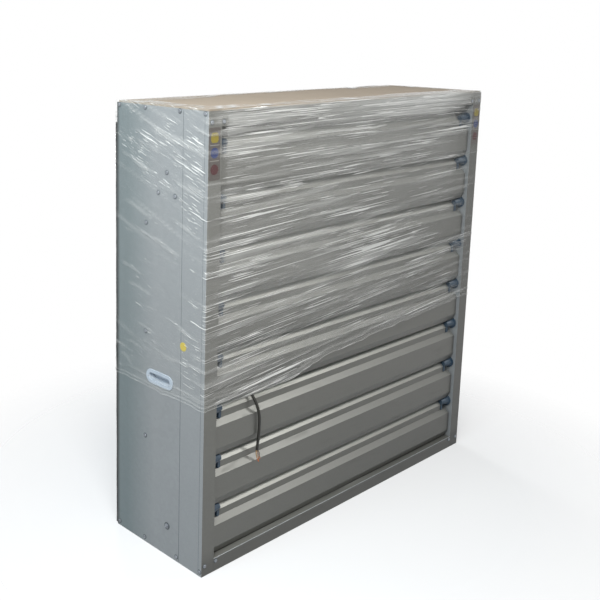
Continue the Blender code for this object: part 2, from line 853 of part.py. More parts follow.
def make_tie_bar():
    """Flat bar that joins all the levers, so that the louvres turn together."""
    pins = [louvre_height(k) + CRANK_UP for k in range(1, LOUVRE_COUNT + 1)]
    origin = Vector((TIE_BAR_X, PIVOT_Y + CRANK_BACK, pins[0]))
    low = (0.0, -TIE_BAR_WIDTH / 2, pins[-1] - pins[0] - TIE_BAR_END)
    high = (TIE_BAR_THICKNESS, TIE_BAR_WIDTH / 2, TIE_BAR_END)
    bar = add_part("tie_bar", box_mesh("tie_bar", low, high), "galvanised", origin)
    holes = rods_mesh(
        "tie bar holes",
        [(TIE_BAR_X, origin.y, z) for z in pins],
        CRANK_PIN_RADIUS + CRANK_HOLE_CLEARANCE,
        2 * OVERRUN,
        PIVOT_SIDES,
        (1, 0, 0),
    )
    combine(bar, add_cutter("tie bar holes", holes), "DIFFERENCE")


def make_orifice_plate():
    """Dividing plate with turned edges and the bell mouth round the impeller."""
    low = Vector((-INSIDE, PLATE_Y, FLOOR))
    high = Vector((INSIDE, PLATE_Y + PLATE_FLANGE, CEILING))
    mesh = box_mesh("orifice_plate", low, high)
    bm = bmesh.new()
    bm.from_mesh(mesh)
    rear = [face for face in bm.faces if face.normal.y > 0.5]
    bmesh.ops.delete(bm, geom=rear, context="FACES_ONLY")
    bm.to_mesh(mesh)
    bm.free()
    plate = add_part("orifice_plate", mesh, "galvanised")
    add_solidify(plate, SHEET, -1)
    bell_outer = THROAT_RADIUS + BELL_RADIUS
    opening = rods_mesh(
        "plate opening",
        [(0.0, PLATE_Y, AXIS_HEIGHT)],
        bell_outer + BELL_LAP * BELL_SEAT_SHARE,
        2 * OVERRUN,
        BELL_SIDES,
        (0, 1, 0),
    )
    combine(plate, add_cutter("plate opening", opening), "DIFFERENCE")
    rear_face = PLATE_Y + SHEET + BELL_LAP_PROUD
    bend = rear_face - BELL_RADIUS
    air_side = []
    back_side = []
    for i in range(BELL_ARC_STEPS + 1):
        angle = math.pi / 2 * i / BELL_ARC_STEPS
        for radius, line in ((BELL_RADIUS, air_side), (BELL_RADIUS - BELL_SHEET, back_side)):
            line.append((bell_outer - radius * math.cos(angle), bend + radius * math.sin(angle)))
    lap = bell_outer + BELL_LAP
    profile = [(THROAT_RADIUS + BELL_SHEET, THROAT_LIP_Y), (THROAT_RADIUS, THROAT_LIP_Y)]
    profile += air_side
    profile += [(lap, rear_face), (lap, rear_face - BELL_SHEET - BELL_LAP_PROUD)]
    profile += [(bell_outer, rear_face - BELL_SHEET - BELL_LAP_PROUD)]
    profile += back_side[-2::-1]
    profile.reverse()
    bell = turned_mesh("bell mouth", profile, BELL_SIDES)
    combine(plate, add_cutter("bell mouth", bell, (0.0, 0.0, AXIS_HEIGHT), TO_Y_AXIS))
    hole = rods_mesh(
        "lead hole",
        [(LEAD_HOLE_X, PLATE_Y, LEAD_HOLE_HEIGHT)],
        LEAD_HOLE_RADIUS,
        2 * OVERRUN,
        PIVOT_SIDES,
        (0, 1, 0),
    )
    combine(plate, add_cutter("lead hole", hole), "DIFFERENCE")


def make_guard():
    """Square-mesh guard that sits inside the rear flanges."""
    half = HALF_WIDTH - GUARD_MARGIN
    rear = REAR - SHEET - GAP
    low = (-half, rear - GUARD_THICKNESS, GUARD_MARGIN)
    high = (half, rear, CASING_HEIGHT - GUARD_MARGIN)
    guard = add_part("inlet_guard", box_mesh("inlet_guard", low, high), "bright_steel")
    pitch_x = (2 * (half - GUARD_BORDER) + GUARD_BAR) / GUARD_OPENINGS
    pitch_z = (CASING_HEIGHT - 2 * GUARD_MARGIN - 2 * GUARD_BORDER + GUARD_BAR) / GUARD_OPENINGS
    mesh = bpy.data.meshes.new("guard openings")
    bm = bmesh.new()
    for i in range(GUARD_OPENINGS):
        for j in range(GUARD_OPENINGS):
            middle = Vector(
                (
                    -half + GUARD_BORDER - GUARD_BAR / 2 + pitch_x * (i + 1 / 2),
                    rear - GUARD_THICKNESS / 2,
                    GUARD_MARGIN + GUARD_BORDER - GUARD_BAR / 2 + pitch_z * (j + 1 / 2),
                )
            )
            size = (pitch_x - GUARD_BAR, GUARD_THICKNESS + 2 * OVERRUN, pitch_z - GUARD_BAR)
            bmesh.ops.create_cube(bm, size=1.0, matrix=Matrix.Translation(middle) @ Matrix.Diagonal((*size, 1)))
    bm.to_mesh(mesh)
    bm.free()
    combine(guard, add_cutter("guard openings", mesh), "DIFFERENCE")


def make_column():
    """Upright channel that carries the fan shaft and the motor."""
    half = COLUMN_WIDTH / 2
    back = COLUMN_FRONT + COLUMN_DEPTH
    profile = [(-half, back), (-half, COLUMN_FRONT), (half, COLUMN_FRONT), (half, back)]
    mesh = sheet_mesh("drive_column", profile, [FLOOR, CEILING], "Z")
    column = add_part("drive_column", mesh, "galvanised")
    add_solidify(column, COLUMN_SHEET, 1)
    hole = rods_mesh(
        "housing hole",
        [(0.0, COLUMN_FRONT, AXIS_HEIGHT)],
        HOUSING_RADIUS + HOUSING_HOLE_CLEARANCE,
        2 * OVERRUN,
        ROUND_SIDES,
        (0, 1, 0),
    )
    combine(column, add_cutter("housing hole", hole), "DIFFERENCE")


def make_housing_and_bearings():
    """Flanged housing through the column's web, with a ball bearing at each end."""
    flange_rear = COLUMN_FRONT - GAP
    flange_front = flange_rear - HOUSING_FLANGE
    seat = BEARING_OUTER_RADIUS + GAP
    seat_depth = BEARING_WIDTH + 2 * GAP
    profile = [
        (HOUSING_RADIUS, HOUSING_REAR),
        (HOUSING_RADIUS, flange_rear),
        (HOUSING_FLANGE_RADIUS, flange_rear),
        (HOUSING_FLANGE_RADIUS, flange_front),
        (HOUSING_RADIUS, flange_front),
        (HOUSING_RADIUS, HOUSING_FRONT),
        (seat, HOUSING_FRONT),
        (seat, HOUSING_FRONT + seat_depth),
        (HOUSING_WAIST_RADIUS, HOUSING_FRONT + seat_depth),
        (HOUSING_WAIST_RADIUS, HOUSING_REAR - seat_depth),
        (seat, HOUSING_REAR - seat_depth),
        (seat, HOUSING_REAR),
    ]
    centre = (0.0, 0.0, AXIS_HEIGHT)
    housing = turned_mesh("bearing_housing", profile, ROUND_SIDES)
    add_part("bearing_housing", housing, "cast_metal", centre, TO_Y_AXIS)
    inner = SHAFT_RADIUS + GAP
    for name, start in (
        ("bearing_front", HOUSING_FRONT + GAP),
        ("bearing_rear", HOUSING_REAR - GAP - BEARING_WIDTH),
    ):
        end = start + BEARING_WIDTH
        ring = [(BEARING_OUTER_RADIUS, end), (BEARING_OUTER_RADIUS, start), (inner, start), (inner, end)]
        add_part(name, turned_mesh(name, ring, ROUND_SIDES), "bright_steel", centre, TO_Y_AXIS)


def half_groove(radius):
    """Half the groove's width at a given distance below the pulley's outer edge."""
    depth = radius - BELT_SINK
    return BELT_WIDTH / 2 - depth * math.tan(BELT_FLANK) + GROOVE_CLEARANCE / math.cos(BELT_FLANK)


def pulley_profile(outer, bore, hub_radius, hub_front, hub_rear, web):
    """Closed outline of a grooved pulley, from the rear of its hub round the outside."""
    rim_inner = outer - PULLEY_RIM_DEPTH
    half_rim = PULLEY_RIM_WIDTH / 2
    mouth = half_groove(0.0)
    floor = half_groove(GROOVE_DEPTH)
    points = [(bore, hub_rear), (hub_radius, hub_rear)]
    if web:
        points += [(hub_radius, BELT_Y + web / 2), (rim_inner, BELT_Y + web / 2), (rim_inner, BELT_Y + half_rim)]
    points += [
        (outer, BELT_Y + half_rim),
        (outer, BELT_Y + mouth),
        (outer - GROOVE_DEPTH, BELT_Y + floor),
        (outer - GROOVE_DEPTH, BELT_Y - floor),
        (outer, BELT_Y - mouth),
        (outer, BELT_Y - half_rim),
    ]
    if web:
        points += [(rim_inner, BELT_Y - half_rim), (rim_inner, BELT_Y - web / 2), (hub_radius, BELT_Y - web / 2)]
    points += [(hub_radius, hub_front), (bore, hub_front)]
    return points


def make_rotor():
    """Shaft, large pulley, hub and blades, all turning about the fan axis."""
    centre = (0.0, 0.0, AXIS_HEIGHT)
    axis = add_axis("fan_axis", centre)
    chamfered = SHAFT_RADIUS - SHAFT_CHAMFER
    shaft = [
        (0.0, SHAFT_REAR),
        (chamfered, SHAFT_REAR),
        (SHAFT_RADIUS, SHAFT_REAR - SHAFT_CHAMFER),
        (SHAFT_RADIUS, SHAFT_FRONT + SHAFT_CHAMFER),
        (chamfered, SHAFT_FRONT),
        (0.0, SHAFT_FRONT),
    ]
    mesh = turned_mesh("fan_shaft", shaft, ROUND_SIDES, closed=False)
    add_part("fan_shaft", mesh, "bright_steel", centre, TO_Y_AXIS, axis)
    bore = SHAFT_RADIUS + GAP
    hub_front = PULLEY_HUB_REAR - PULLEY_HUB_WIDTH
    profile = pulley_profile(
        FAN_PULLEY_RADIUS, bore, PULLEY_HUB_RADIUS, hub_front, PULLEY_HUB_REAR, PULLEY_WEB
    )
    mesh = turned_mesh("fan_pulley", profile, PULLEY_SIDES)
    pulley = add_part("fan_pulley", mesh, "cast_metal", centre, TO_Y_AXIS, axis)
    spots = []
    for i in range(PULLEY_HOLES):
        angle = 2 * math.pi * i / PULLEY_HOLES
        spots.append(
            (
                PULLEY_HOLE_CIRCLE * math.cos(angle),
                BELT_Y,
                AXIS_HEIGHT + PULLEY_HOLE_CIRCLE * math.sin(angle),
            )
        )
    holes = rods_mesh("pulley holes", spots, PULLEY_HOLE_RADIUS, 2 * OVERRUN, ROUND_SIDES // 2, (0, 1, 0))
    combine(pulley, add_cutter("pulley holes", holes), "DIFFERENCE")
    make_hub(axis)
    blade = make_blade_mesh()
    for k in range(BLADE_COUNT):
        turn = (0.0, 2 * math.pi * k / BLADE_COUNT, 0.0)
        add_part(f"blade_{k + 1}", blade, "blade_steel", centre, turn, axis)


def make_hub(axis):
    """Hub with one flat arm under each blade's root."""
    front = BLADE_PLANE - HUB_WIDTH / 2
    rear = BLADE_PLANE + HUB_WIDTH / 2
    bore = SHAFT_RADIUS + GAP
    ring = [(bore, rear), (HUB_RADIUS, rear), (HUB_RADIUS, front), (bore, front)]
    mesh = turned_mesh("blade_hub", ring, ROUND_SIDES)
    hub = add_part("blade_hub", mesh, "cast_metal", axis.location, TO_Y_AXIS, axis)
    seat = BLADE_SHEET / 2 + GAP
    low = (-ARM_WIDTH / 2, seat, ARM_ROOT)
    high = (ARM_WIDTH / 2, seat + ARM_THICKNESS, ARM_RADIUS)
    tilt = Matrix.Rotation(ROOT_PITCH, 4, "Z")
    for k in range(BLADE_COUNT):
        arm = box_mesh(f"arm {k + 1}", low, high)
        turn = Matrix.Rotation(2 * math.pi * k / BLADE_COUNT, 4, "Y")
        arm.transform(turn @ Matrix.Translation((0.0, BLADE_PLANE, 0.0)) @ tilt)
        combine(hub, add_cutter(f"arm {k + 1}", arm, axis.location))


def blade_section(radius):
    """Chord, pitch and camber of the blade at a radius: flat on its arm, then twisted."""
    if radius <= TAB_RADIUS:
        share = (radius - ROOT_RADIUS) / (TAB_RADIUS - ROOT_RADIUS)
        return ROOT_CHORD + (TAB_CHORD - ROOT_CHORD) * share, ROOT_PITCH, 0.0
    share = (radius - TAB_RADIUS) / (TIP_RADIUS - TAB_RADIUS)
    eased = share**0.7
    chord = TAB_CHORD + (TIP_CHORD - TAB_CHORD) * eased
    pitch = ROOT_PITCH + (TIP_PITCH - ROOT_PITCH) * share
    return chord, pitch, CAMBER_SHARE * chord * min(1.0, 2 * share)


def make_blade_mesh():
    """One pressed blade standing straight up from the fan axis."""
    radii = [
        ROOT_RADIUS + (TAB_RADIUS - ROOT_RADIUS) * i / BLADE_TAB_STEPS for i in range(BLADE_TAB_STEPS)
    ]
    radii += [TAB_RADIUS + (TIP_RADIUS - TAB_RADIUS) * i / BLADE_STEPS for i in range(BLADE_STEPS + 1)]
    mesh = bpy.data.meshes.new("blade")
    bm = bmesh.new()
    spans = len(radii) - 1
    bmesh.ops.create_grid(bm, x_segments=CHORD_STEPS, y_segments=spans, size=1.0)
    for vert in bm.verts:
        radius = radii[round((vert.co.y + 1) / 2 * spans)]
        across = vert.co.x / 2
        chord, pitch, camber = blade_section(radius)
        lift = -camber * (1 - (2 * across) ** 2)
        x = across * chord * math.cos(pitch) - lift * math.sin(pitch)
        y = BLADE_PLANE + across * chord * math.sin(pitch) + lift * math.cos(pitch)
        vert.co = (x, y, math.sqrt(radius**2 - x**2))
    bm.to_mesh(mesh)
    bm.free()
    surface = add_cutter("blade surface", mesh)
    add_solidify(surface, BLADE_SHEET, 0)
    made = baked(surface)
    made.name = "blade"
    smooth_round(made)
    return made


def make_motor():
    """Foot-mounted motor with fins, end shields, terminal box and a bore for its shaft."""
    centre = (MOTOR_X, 0.0, MOTOR_HEIGHT)
    core_front = MOTOR_FRONT + MOTOR_SHIELD - MOTOR_SHIELD_LAP
    core_rear = MOTOR_REAR - MOTOR_SHIELD + MOTOR_SHIELD_LAP
    outline = []
    for i in range(MOTOR_FINS):
        start = 2 * math.pi * (i + FIN_TURN_SHARE) / MOTOR_FINS
        quarter = math.pi / MOTOR_FINS / 2
        for step, radius in (
            (0, MOTOR_CORE_RADIUS),
            (2, MOTOR_CORE_RADIUS),
            (2.4, MOTOR_CORE_RADIUS + MOTOR_FIN),
            (3.6, MOTOR_CORE_RADIUS + MOTOR_FIN),
        ):
            angle = start + quarter * step
            outline.append((radius * math.cos(angle), radius * math.sin(angle)))
    core = outline_mesh("motor core", [outline], core_rear - core_front)
    core.transform(Matrix.Rotation(math.pi / 2, 4, "X"))
    core.transform(Matrix.Translation((0.0, (core_front + core_rear) / 2, 0.0)))
    motor = add_part("motor_body", core, "motor_paint", centre)
    nose_rear = MOTOR_REAR
    shield_rear = nose_rear - MOTOR_NOSE
    bore = MOTOR_SHAFT_RADIUS + GAP
    rear_shield = [
        (0.0, nose_rear),
        (MOTOR_NOSE_RADIUS, nose_rear),
        (MOTOR_NOSE_RADIUS, shield_rear),
        (MOTOR_SHIELD_RADIUS, shield_rear),
        (MOTOR_SHIELD_RADIUS, nose_rear - MOTOR_SHIELD),
        (0.0, nose_rear - MOTOR_SHIELD),
    ]
    front_shield = [
        (0.0, MOTOR_FRONT + MOTOR_SHIELD),
        (MOTOR_SHIELD_RADIUS, MOTOR_FRONT + MOTOR_SHIELD),
        (MOTOR_SHIELD_RADIUS, MOTOR_FRONT + MOTOR_NOSE),
        (MOTOR_NOSE_RADIUS, MOTOR_FRONT),
        (0.0, MOTOR_FRONT),
    ]
    for name, profile in (("rear shield", rear_shield), ("front shield", front_shield)):
        shield = turned_mesh(name, profile, ROUND_SIDES, closed=False)
        combine(motor, add_cutter(name, shield, centre, TO_Y_AXIS))
    foot = box_mesh(
        "motor foot",
        (FOOT_X - FOOT_THICKNESS, FOOT_FRONT, MOTOR_HEIGHT - FOOT_HALF_HEIGHT),
        (FOOT_X, FOOT_REAR, MOTOR_HEIGHT + FOOT_HALF_HEIGHT),
    )
    terminal = box_mesh(
        "terminal box",
        (TERMINAL_X, TERMINAL_FRONT, MOTOR_HEIGHT - TERMINAL_HALF_HEIGHT),
        (TERMINAL_X + TERMINAL_DEPTH, TERMINAL_REAR, MOTOR_HEIGHT + TERMINAL_HALF_HEIGHT),
    )
    for helper in (add_cutter("motor foot", foot), add_cutter("terminal box", terminal)):
        combine(motor, helper)
    bore_hole = rods_mesh(
        "motor bore",
        [(MOTOR_X, MOTOR_REAR - MOTOR_BORE_DEPTH / 2 + OVERRUN / 2, MOTOR_HEIGHT)],
        bore,
        MOTOR_BORE_DEPTH + OVERRUN,
        ROUND_SIDES,
        (0, 1, 0),
    )
    combine(motor, add_cutter("motor bore", bore_hole), "DIFFERENCE")


def make_motor_rotor():
    """Motor shaft with the small pulley, turning about the motor's axis."""
    centre = (MOTOR_X, 0.0, MOTOR_HEIGHT)
    axis = add_axis("motor_axis", centre)
    start = MOTOR_REAR - MOTOR_BORE_DEPTH + GAP
    end = BELT_Y + PULLEY_RIM_WIDTH / 2 + GAP
    shaft = [
        (0.0, end),
        (MOTOR_SHAFT_RADIUS, end),
        (MOTOR_SHAFT_RADIUS, start),
        (0.0, start),
    ]
    mesh = turned_mesh("motor_shaft", shaft, ROUND_SIDES, closed=False)
    add_part("motor_shaft", mesh, "bright_steel", centre, TO_Y_AXIS, axis)
    half = PULLEY_RIM_WIDTH / 2
    profile = pulley_profile(
        MOTOR_PULLEY_RADIUS,
        MOTOR_SHAFT_RADIUS + GAP,
        MOTOR_PULLEY_HUB_RADIUS,
        BELT_Y - half - MOTOR_PULLEY_STEP,
        BELT_Y + half,
        MOTOR_PULLEY_WEB,
    )
    mesh = turned_mesh("motor_pulley", profile, ROUND_SIDES)
    add_part("motor_pulley", mesh, "cast_metal", centre, TO_Y_AXIS, axis)


def make_bracket():
    """Channel bracket that carries the motor's foot on the side of the column."""
    near = -COLUMN_WIDTH / 2 - GAP
    far = FOOT_X + GAP
    low = MOTOR_HEIGHT - BRACKET_HALF_HEIGHT
    high = MOTOR_HEIGHT + BRACKET_HALF_HEIGHT
    profile = [(near, high), (far, high), (far, low), (near, low)]
    mesh = sheet_mesh("motor_bracket", profile, [BRACKET_FRONT, BRACKET_REAR], "Y")
    bracket = add_part("motor_bracket", mesh, "galvanised")
    add_solidify(bracket, BRACKET_SHEET, -1)


def belt_line():
    """Outer line of the belt round both pulleys, as (place, outward normal) pairs in the XZ plane."""
    fan = Vector((0.0, AXIS_HEIGHT))
    motor = Vector((MOTOR_X, MOTOR_HEIGHT))
    big = FAN_PULLEY_RADIUS - BELT_SINK
    small = MOTOR_PULLEY_RADIUS - BELT_SINK
    between = motor - fan
    heading = math.atan2(between.y, between.x)
    spread = math.acos((big - small) / between.length)
    line = []
    for centre, radius, start, sweep in (
        (fan, big, heading + spread, 2 * math.pi - 2 * spread),
        (motor, small, heading - spread, 2 * spread),
    ):
        steps = math.ceil(sweep / BELT_ARC_STEP)
        for i in range(steps + 1):
            angle = start + sweep * i / steps
            normal = Vector((math.cos(angle), math.sin(angle)))
            line.append((centre + radius * normal, normal))
    return line


def make_belt():
    """V belt: its tapered section is carried round the belt line."""
    narrow = BELT_WIDTH / 2 - BELT_THICKNESS * math.tan(BELT_FLANK)
    bm = bmesh.new()
    rings = []
    for place, normal in belt_line():
        inner = place - normal * BELT_THICKNESS
        ring = []
        for point, half in ((place, BELT_WIDTH / 2), (inner, narrow)):
            for side in (1, -1):
                ring.append(bm.verts.new((point.x, BELT_Y + side * half, point.y)))
        rings.append([ring[0], ring[1], ring[3], ring[2]])
    for ring, following in zip(rings, rings[1:] + rings[:1]):
        for i in range(4):
            j = (i + 1) % 4
            bm.faces.new((ring[i], ring[j], following[j], following[i]))
    bmesh.ops.recalc_face_normals(bm, faces=bm.faces)
    mesh = bpy.data.meshes.new("drive_belt")
    bm.to_mesh(mesh)
    bm.free()
    add_part("drive_belt", mesh, "belt_rubber")


def make_junction_box():
    """Junction box on the left wall, with a gland above for the motor lead and one below."""
    low = (-INSIDE, BOX_FRONT, BOX_BOTTOM)
    high = (-INSIDE + BOX_DEPTH, BOX_REAR, BOX_TOP)
    box = add_part("junction_box", box_mesh("junction_box", low, high), "box_plastic")
    bevel = box.modifiers.new("rounded edges", "BEVEL")
    bevel.width = BOX_BEVEL
    bevel.segments = 1
    height = BOX_TOP - BOX_BOTTOM + 2 * GLAND_LENGTH
    middle = (GLAND_X, GLAND_Y, (BOX_TOP + BOX_BOTTOM) / 2)
    glands = rods_mesh("glands", [middle], GLAND_RADIUS, height, PIVOT_SIDES, (0, 0, 1))
    combine(box, add_cutter("glands", glands))
    for name, level, radius in (
        ("upper gland bore", BOX_TOP + GLAND_LENGTH, LEAD_RADIUS),
        ("lower gland bore", BOX_BOTTOM - GLAND_LENGTH, CORD_RADIUS),
    ):
        bore = rods_mesh(
            name,
            [(GLAND_X, GLAND_Y, level)],
            radius + GLAND_BORE_CLEARANCE,
            2 * GLAND_BORE_DEPTH,
            PIVOT_SIDES,
            (0, 0, 1),
        )
        combine(box, add_cutter(name, bore), "DIFFERENCE")


def motor_lead_route():
    """From the terminal box across to the plate's hole, sagging, then round into the upper gland."""
    start = Vector((TERMINAL_X - GAP, PLATE_Y, MOTOR_HEIGHT + TERMINAL_EXIT_RISE))
    hole = Vector((LEAD_HOLE_X, PLATE_Y, LEAD_HOLE_HEIGHT))
    route = []
    for share, (behind, sag) in zip(MOTOR_LEAD_SHARES, MOTOR_LEAD_SAGS):
        route.append(start.lerp(hole, share) + Vector((0.0, behind, -sag)))
    mouth = Vector((GLAND_X, GLAND_Y, BOX_TOP + GLAND_LENGTH - GLAND_BORE_DEPTH + GAP))
    route += [mouth + Vector(offset) for offset in MOTOR_LEAD_BEND]
    return route


def supply_lead_route():
    """From the lower gland down the wall and across to the place above its louvre."""
    mouth = Vector((GLAND_X, GLAND_Y, BOX_BOTTOM - GLAND_LENGTH + GLAND_BORE_DEPTH - GAP))
    pivot = louvre_height(CORD_LOUVRE)
    end = Vector((CORD_X, PIVOT_Y + CORD_BEHIND_PIVOT, pivot + CORD_ABOVE_PIVOT + GAP))
    way = end - mouth
    return [mouth + Vector((way.x * x, way.y * y, way.z * z)) for x, y, z in SUPPLY_LEAD_SHARES]


def cord_tail_route():
    """Over the louvre and down in front of it."""
    pivot = Vector((CORD_X, PIVOT_Y, louvre_height(CORD_LOUVRE)))
    return [pivot + Vector(offset) for offset in CORD_TAIL_ROUTE]


def make_leads():
    """Lead from motor to junction box, and the supply cord, which leaves between two louvres."""
    for name, route, radius, spacing in (
        ("motor_lead", motor_lead_route(), LEAD_RADIUS, LEAD_SPACING),
        ("supply_lead", supply_lead_route(), CORD_RADIUS, CORD_SPACING),
        ("cord_tail", cord_tail_route(), CORD_RADIUS, CORD_SPACING * TAIL_SPACING_SHARE),
    ):
        add_part(name, tube_curve(name, smooth_route(route, spacing), radius), "cable_black")


def make_card():
    """Sheet of corrugated card that lies on the casing's top."""
    half = HALF_WIDTH - CARD_MARGIN
    low = (-half, FRONT + CARD_MARGIN, CASING_HEIGHT + GAP)
    high = (half, REAR - CARD_MARGIN, CASING_HEIGHT + GAP + CARD_THICKNESS)
    add_part("top_card", box_mesh("top_card", low, high), "card")


clear_scene()
MATERIALS = make_materials()
PARTS = new_collection("box exhaust fan")
CUTTERS = new_collection("cutters")

for panel_side, side_name in ((-1, "left"), (1, "right")):
    make_side_panel(f"casing_side_{side_name}", panel_side)
    make_hand_cup(f"hand_cup_{side_name}", panel_side)
    make_stile(f"frame_stile_{side_name}", panel_side)
make_level_panel("casing_top", True)
make_level_panel("casing_bottom", False)
make_rail("frame_rail_top", True)
make_rail("frame_rail_bottom", False)
make_shutter()
make_orifice_plate()
make_guard()
make_column()
make_housing_and_bearings()
make_rotor()
make_motor()
make_motor_rotor()
make_bracket()
make_belt()
make_junction_box()
make_leads()
make_card()
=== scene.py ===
"""Looks for the box exhaust fan: finishes, cords, fasteners, guard wires, stretch film, labels and stage."""

import json
import math
import random

import bmesh
import bpy
import numpy as np
from bpy.props import FloatProperty, FloatVectorProperty, IntProperty, PointerProperty
from mathutils import Matrix, Vector


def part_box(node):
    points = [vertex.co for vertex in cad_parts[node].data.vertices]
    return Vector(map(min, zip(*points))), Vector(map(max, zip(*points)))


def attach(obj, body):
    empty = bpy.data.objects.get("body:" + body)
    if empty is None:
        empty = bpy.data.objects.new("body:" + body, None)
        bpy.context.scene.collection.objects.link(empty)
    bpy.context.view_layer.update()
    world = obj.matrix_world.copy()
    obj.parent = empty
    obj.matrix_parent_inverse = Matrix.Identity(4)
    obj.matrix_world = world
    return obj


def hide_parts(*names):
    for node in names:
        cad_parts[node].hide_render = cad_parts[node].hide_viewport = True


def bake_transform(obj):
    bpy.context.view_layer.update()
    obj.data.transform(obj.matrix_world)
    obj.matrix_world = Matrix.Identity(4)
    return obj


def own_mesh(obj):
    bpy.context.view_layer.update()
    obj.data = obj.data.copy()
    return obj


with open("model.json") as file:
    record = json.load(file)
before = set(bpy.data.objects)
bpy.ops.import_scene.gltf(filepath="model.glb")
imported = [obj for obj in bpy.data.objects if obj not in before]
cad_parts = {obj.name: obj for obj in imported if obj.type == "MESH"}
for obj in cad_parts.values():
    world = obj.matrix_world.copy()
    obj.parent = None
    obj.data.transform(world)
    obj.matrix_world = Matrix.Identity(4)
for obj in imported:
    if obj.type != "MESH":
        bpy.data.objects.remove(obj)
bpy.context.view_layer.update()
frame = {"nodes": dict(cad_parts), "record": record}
NODES = frame["nodes"]

bl_info = {
    "name": "Box exhaust fan looks",
    "version": (1, 0, 0),
    "blender": (4, 5, 0),
    "location": "3D View > Sidebar > Fan",
    "description": "Finishes, film, cord, fasteners and stage of a belt-driven box fan",
    "category": "Object",
}

# Casing and shutter, in metres, as the solids have them
HALF_WIDTH = 0.690
FRONT = -0.200
REAR = 0.200
SEAM = -0.098
FOLD = -0.186
CARD_TOP = 1.3853
STILE_INNER = 0.640
LOUVRE_PITCH = 0.1573
LOWEST_LOUVRE = 0.187
AXIS_HEIGHT = 0.690
MOTOR_X = -0.185
MOTOR_HEIGHT = 1.197
BLADE_PITCH = math.radians(32)
ENDS = ((-1, "left"), (1, "right"))


def rgb(value):
    """A 0 to 255 screen colour as linear red, green and blue."""
    shares = [channel / 255 for channel in value]
    return tuple(share / 12.92 if share <= 0.04045 else ((share + 0.055) / 1.055) ** 2.4 for share in shares)


def scaled(colour, share):
    return tuple(share * channel for channel in colour)


def number_prop(name, value, description, **limits):
    return FloatProperty(name=name, default=value, description=description, **limits)


def colour_prop(name, value, description):
    return FloatVectorProperty(
        name=name, subtype="COLOR", size=3, min=0.0, max=1.0, default=rgb(value), description=description
    )


def length_prop(name, value, description):
    return number_prop(name, value, description, unit="LENGTH", subtype="DISTANCE")


class FanFinishSettings(bpy.types.PropertyGroup):
    casing_colour: colour_prop("Casing", (150, 154, 156), "Colour of the galvanised casing sheet")
    shutter_colour: colour_prop("Shutter", (124, 124, 119), "Colour of the shutter's sheet")
    plastic_colour: colour_prop("Pivots", (44, 66, 84), "Colour of the moulded louvre ends")
    cup_colour: colour_prop("Hand cups", (196, 206, 216), "Colour of the moulded hand cups")
    card_colour: colour_prop("Card", (174, 159, 141), "Colour of the sheet of card on the top")
    motor_colour: colour_prop("Motor", (42, 80, 116), "Colour of the motor's paint")
    spangle_size: length_prop("Spangle", 0.012, "Size of the zinc crystals on the casing")


class FanCordSettings(bpy.types.PropertyGroup):
    radius: length_prop("Cord radius", 0.0045, "Outer radius of the supply cord")
    lead_radius: length_prop("Motor lead radius", 0.004, "Outer radius of the motor's lead")
    conductor_radius: length_prop("Conductor radius", 0.0013, "Radius of each insulated conductor")
    colour: colour_prop("Sheath", (20, 20, 14), "Colour of the cord's sheath")


class FanFastenerSettings(bpy.types.PropertyGroup):
    head_radius: length_prop("Screw head radius", 0.0054, "Radius of a pan head")
    head_height: length_prop("Screw head height", 0.0026, "How far a pan head stands proud")
    bolt_radius: length_prop("Bolt head radius", 0.0075, "Radius round the corners of a hexagon head")


class FanGuardSettings(bpy.types.PropertyGroup):
    wire_radius: length_prop("Wire radius", 0.0013, "Radius of the guard's fine wires")
    pitch: length_prop("Wire pitch", 0.0454, "Distance between fine wires")


class FanFilmSettings(bpy.types.PropertyGroup):
    stand_off: length_prop("Stand-off", 0.0024, "How far the stretch film stands off the casing")
    front_edge: length_prop("Lower edge", 0.522, "Height of the film's lower edge at the left front corner")
    lap: length_prop("Top lap", 0.075, "How far the film folds in over the top")
    haze: number_prop("Haze", 0.03, "Cover of the flat film", min=0.0, max=1.0)
    streak_cover: number_prop("Streaks", 0.88, "Cover of a streak", min=0.0, max=1.0)
    seed: IntProperty(name="Seed", default=7, description="Draw of the creases")


class FanLabelSettings(bpy.types.PropertyGroup):
    ground: colour_prop("Label ground", (94, 88, 84), "Ground of the plain labels")
    upper: colour_prop("Upper patch", (152, 136, 40), "Upper patch of the plain labels")
    middle: colour_prop("Middle patch", (34, 52, 108), "Middle patch of the plain labels")
    lower: colour_prop("Lower patch", (74, 26, 30), "Lower patch of the plain labels")
    pale: colour_prop("Pale lines", (150, 146, 140), "Lines between the patches")
    mark: colour_prop("Round mark", (222, 196, 52), "Round mark on the side")


class FanStageSettings(bpy.types.PropertyGroup):
    camera_place: FloatVectorProperty(
        name="Camera", size=3, unit="LENGTH", default=(-2.381, -1.973, 1.598), description="Place of the camera"
    )
    camera_yaw: number_prop("Yaw", 0.731, "Turn to the right of +Y", unit="ROTATION")
    camera_pitch: number_prop("Pitch", -0.186, "Tilt above the horizon", unit="ROTATION")
    camera_roll: number_prop("Roll", 0.011, "Roll about the line of sight", unit="ROTATION")
    lens: number_prop("Lens", 54.73, "Focal length in millimetres on a 36 mm sensor")
    shift: FloatVectorProperty(name="Shift", size=2, default=(0.2, -0.1662), description="Shift of the lens")
    key_power: number_prop("Key light", 62.0, "Power of the light above the front")
    side_power: number_prop("Side light", 30.0, "Power of the light at the left")
    sheen_power: number_prop("Sheen light", 55.0, "Power of the far light at the right")
    rear_power: number_prop("Rear light", 44.0, "Power of the light behind, at the right")
    ambient: number_prop("Ambient", 1.0, "Strength of the surrounding light")


SETTINGS = {
    "fan_finish": FanFinishSettings,
    "fan_cord": FanCordSettings,
    "fan_fasteners": FanFastenerSettings,
    "fan_guard": FanGuardSettings,
    "fan_film": FanFilmSettings,
    "fan_labels": FanLabelSettings,
    "fan_stage": FanStageSettings,
}


# Shader helpers


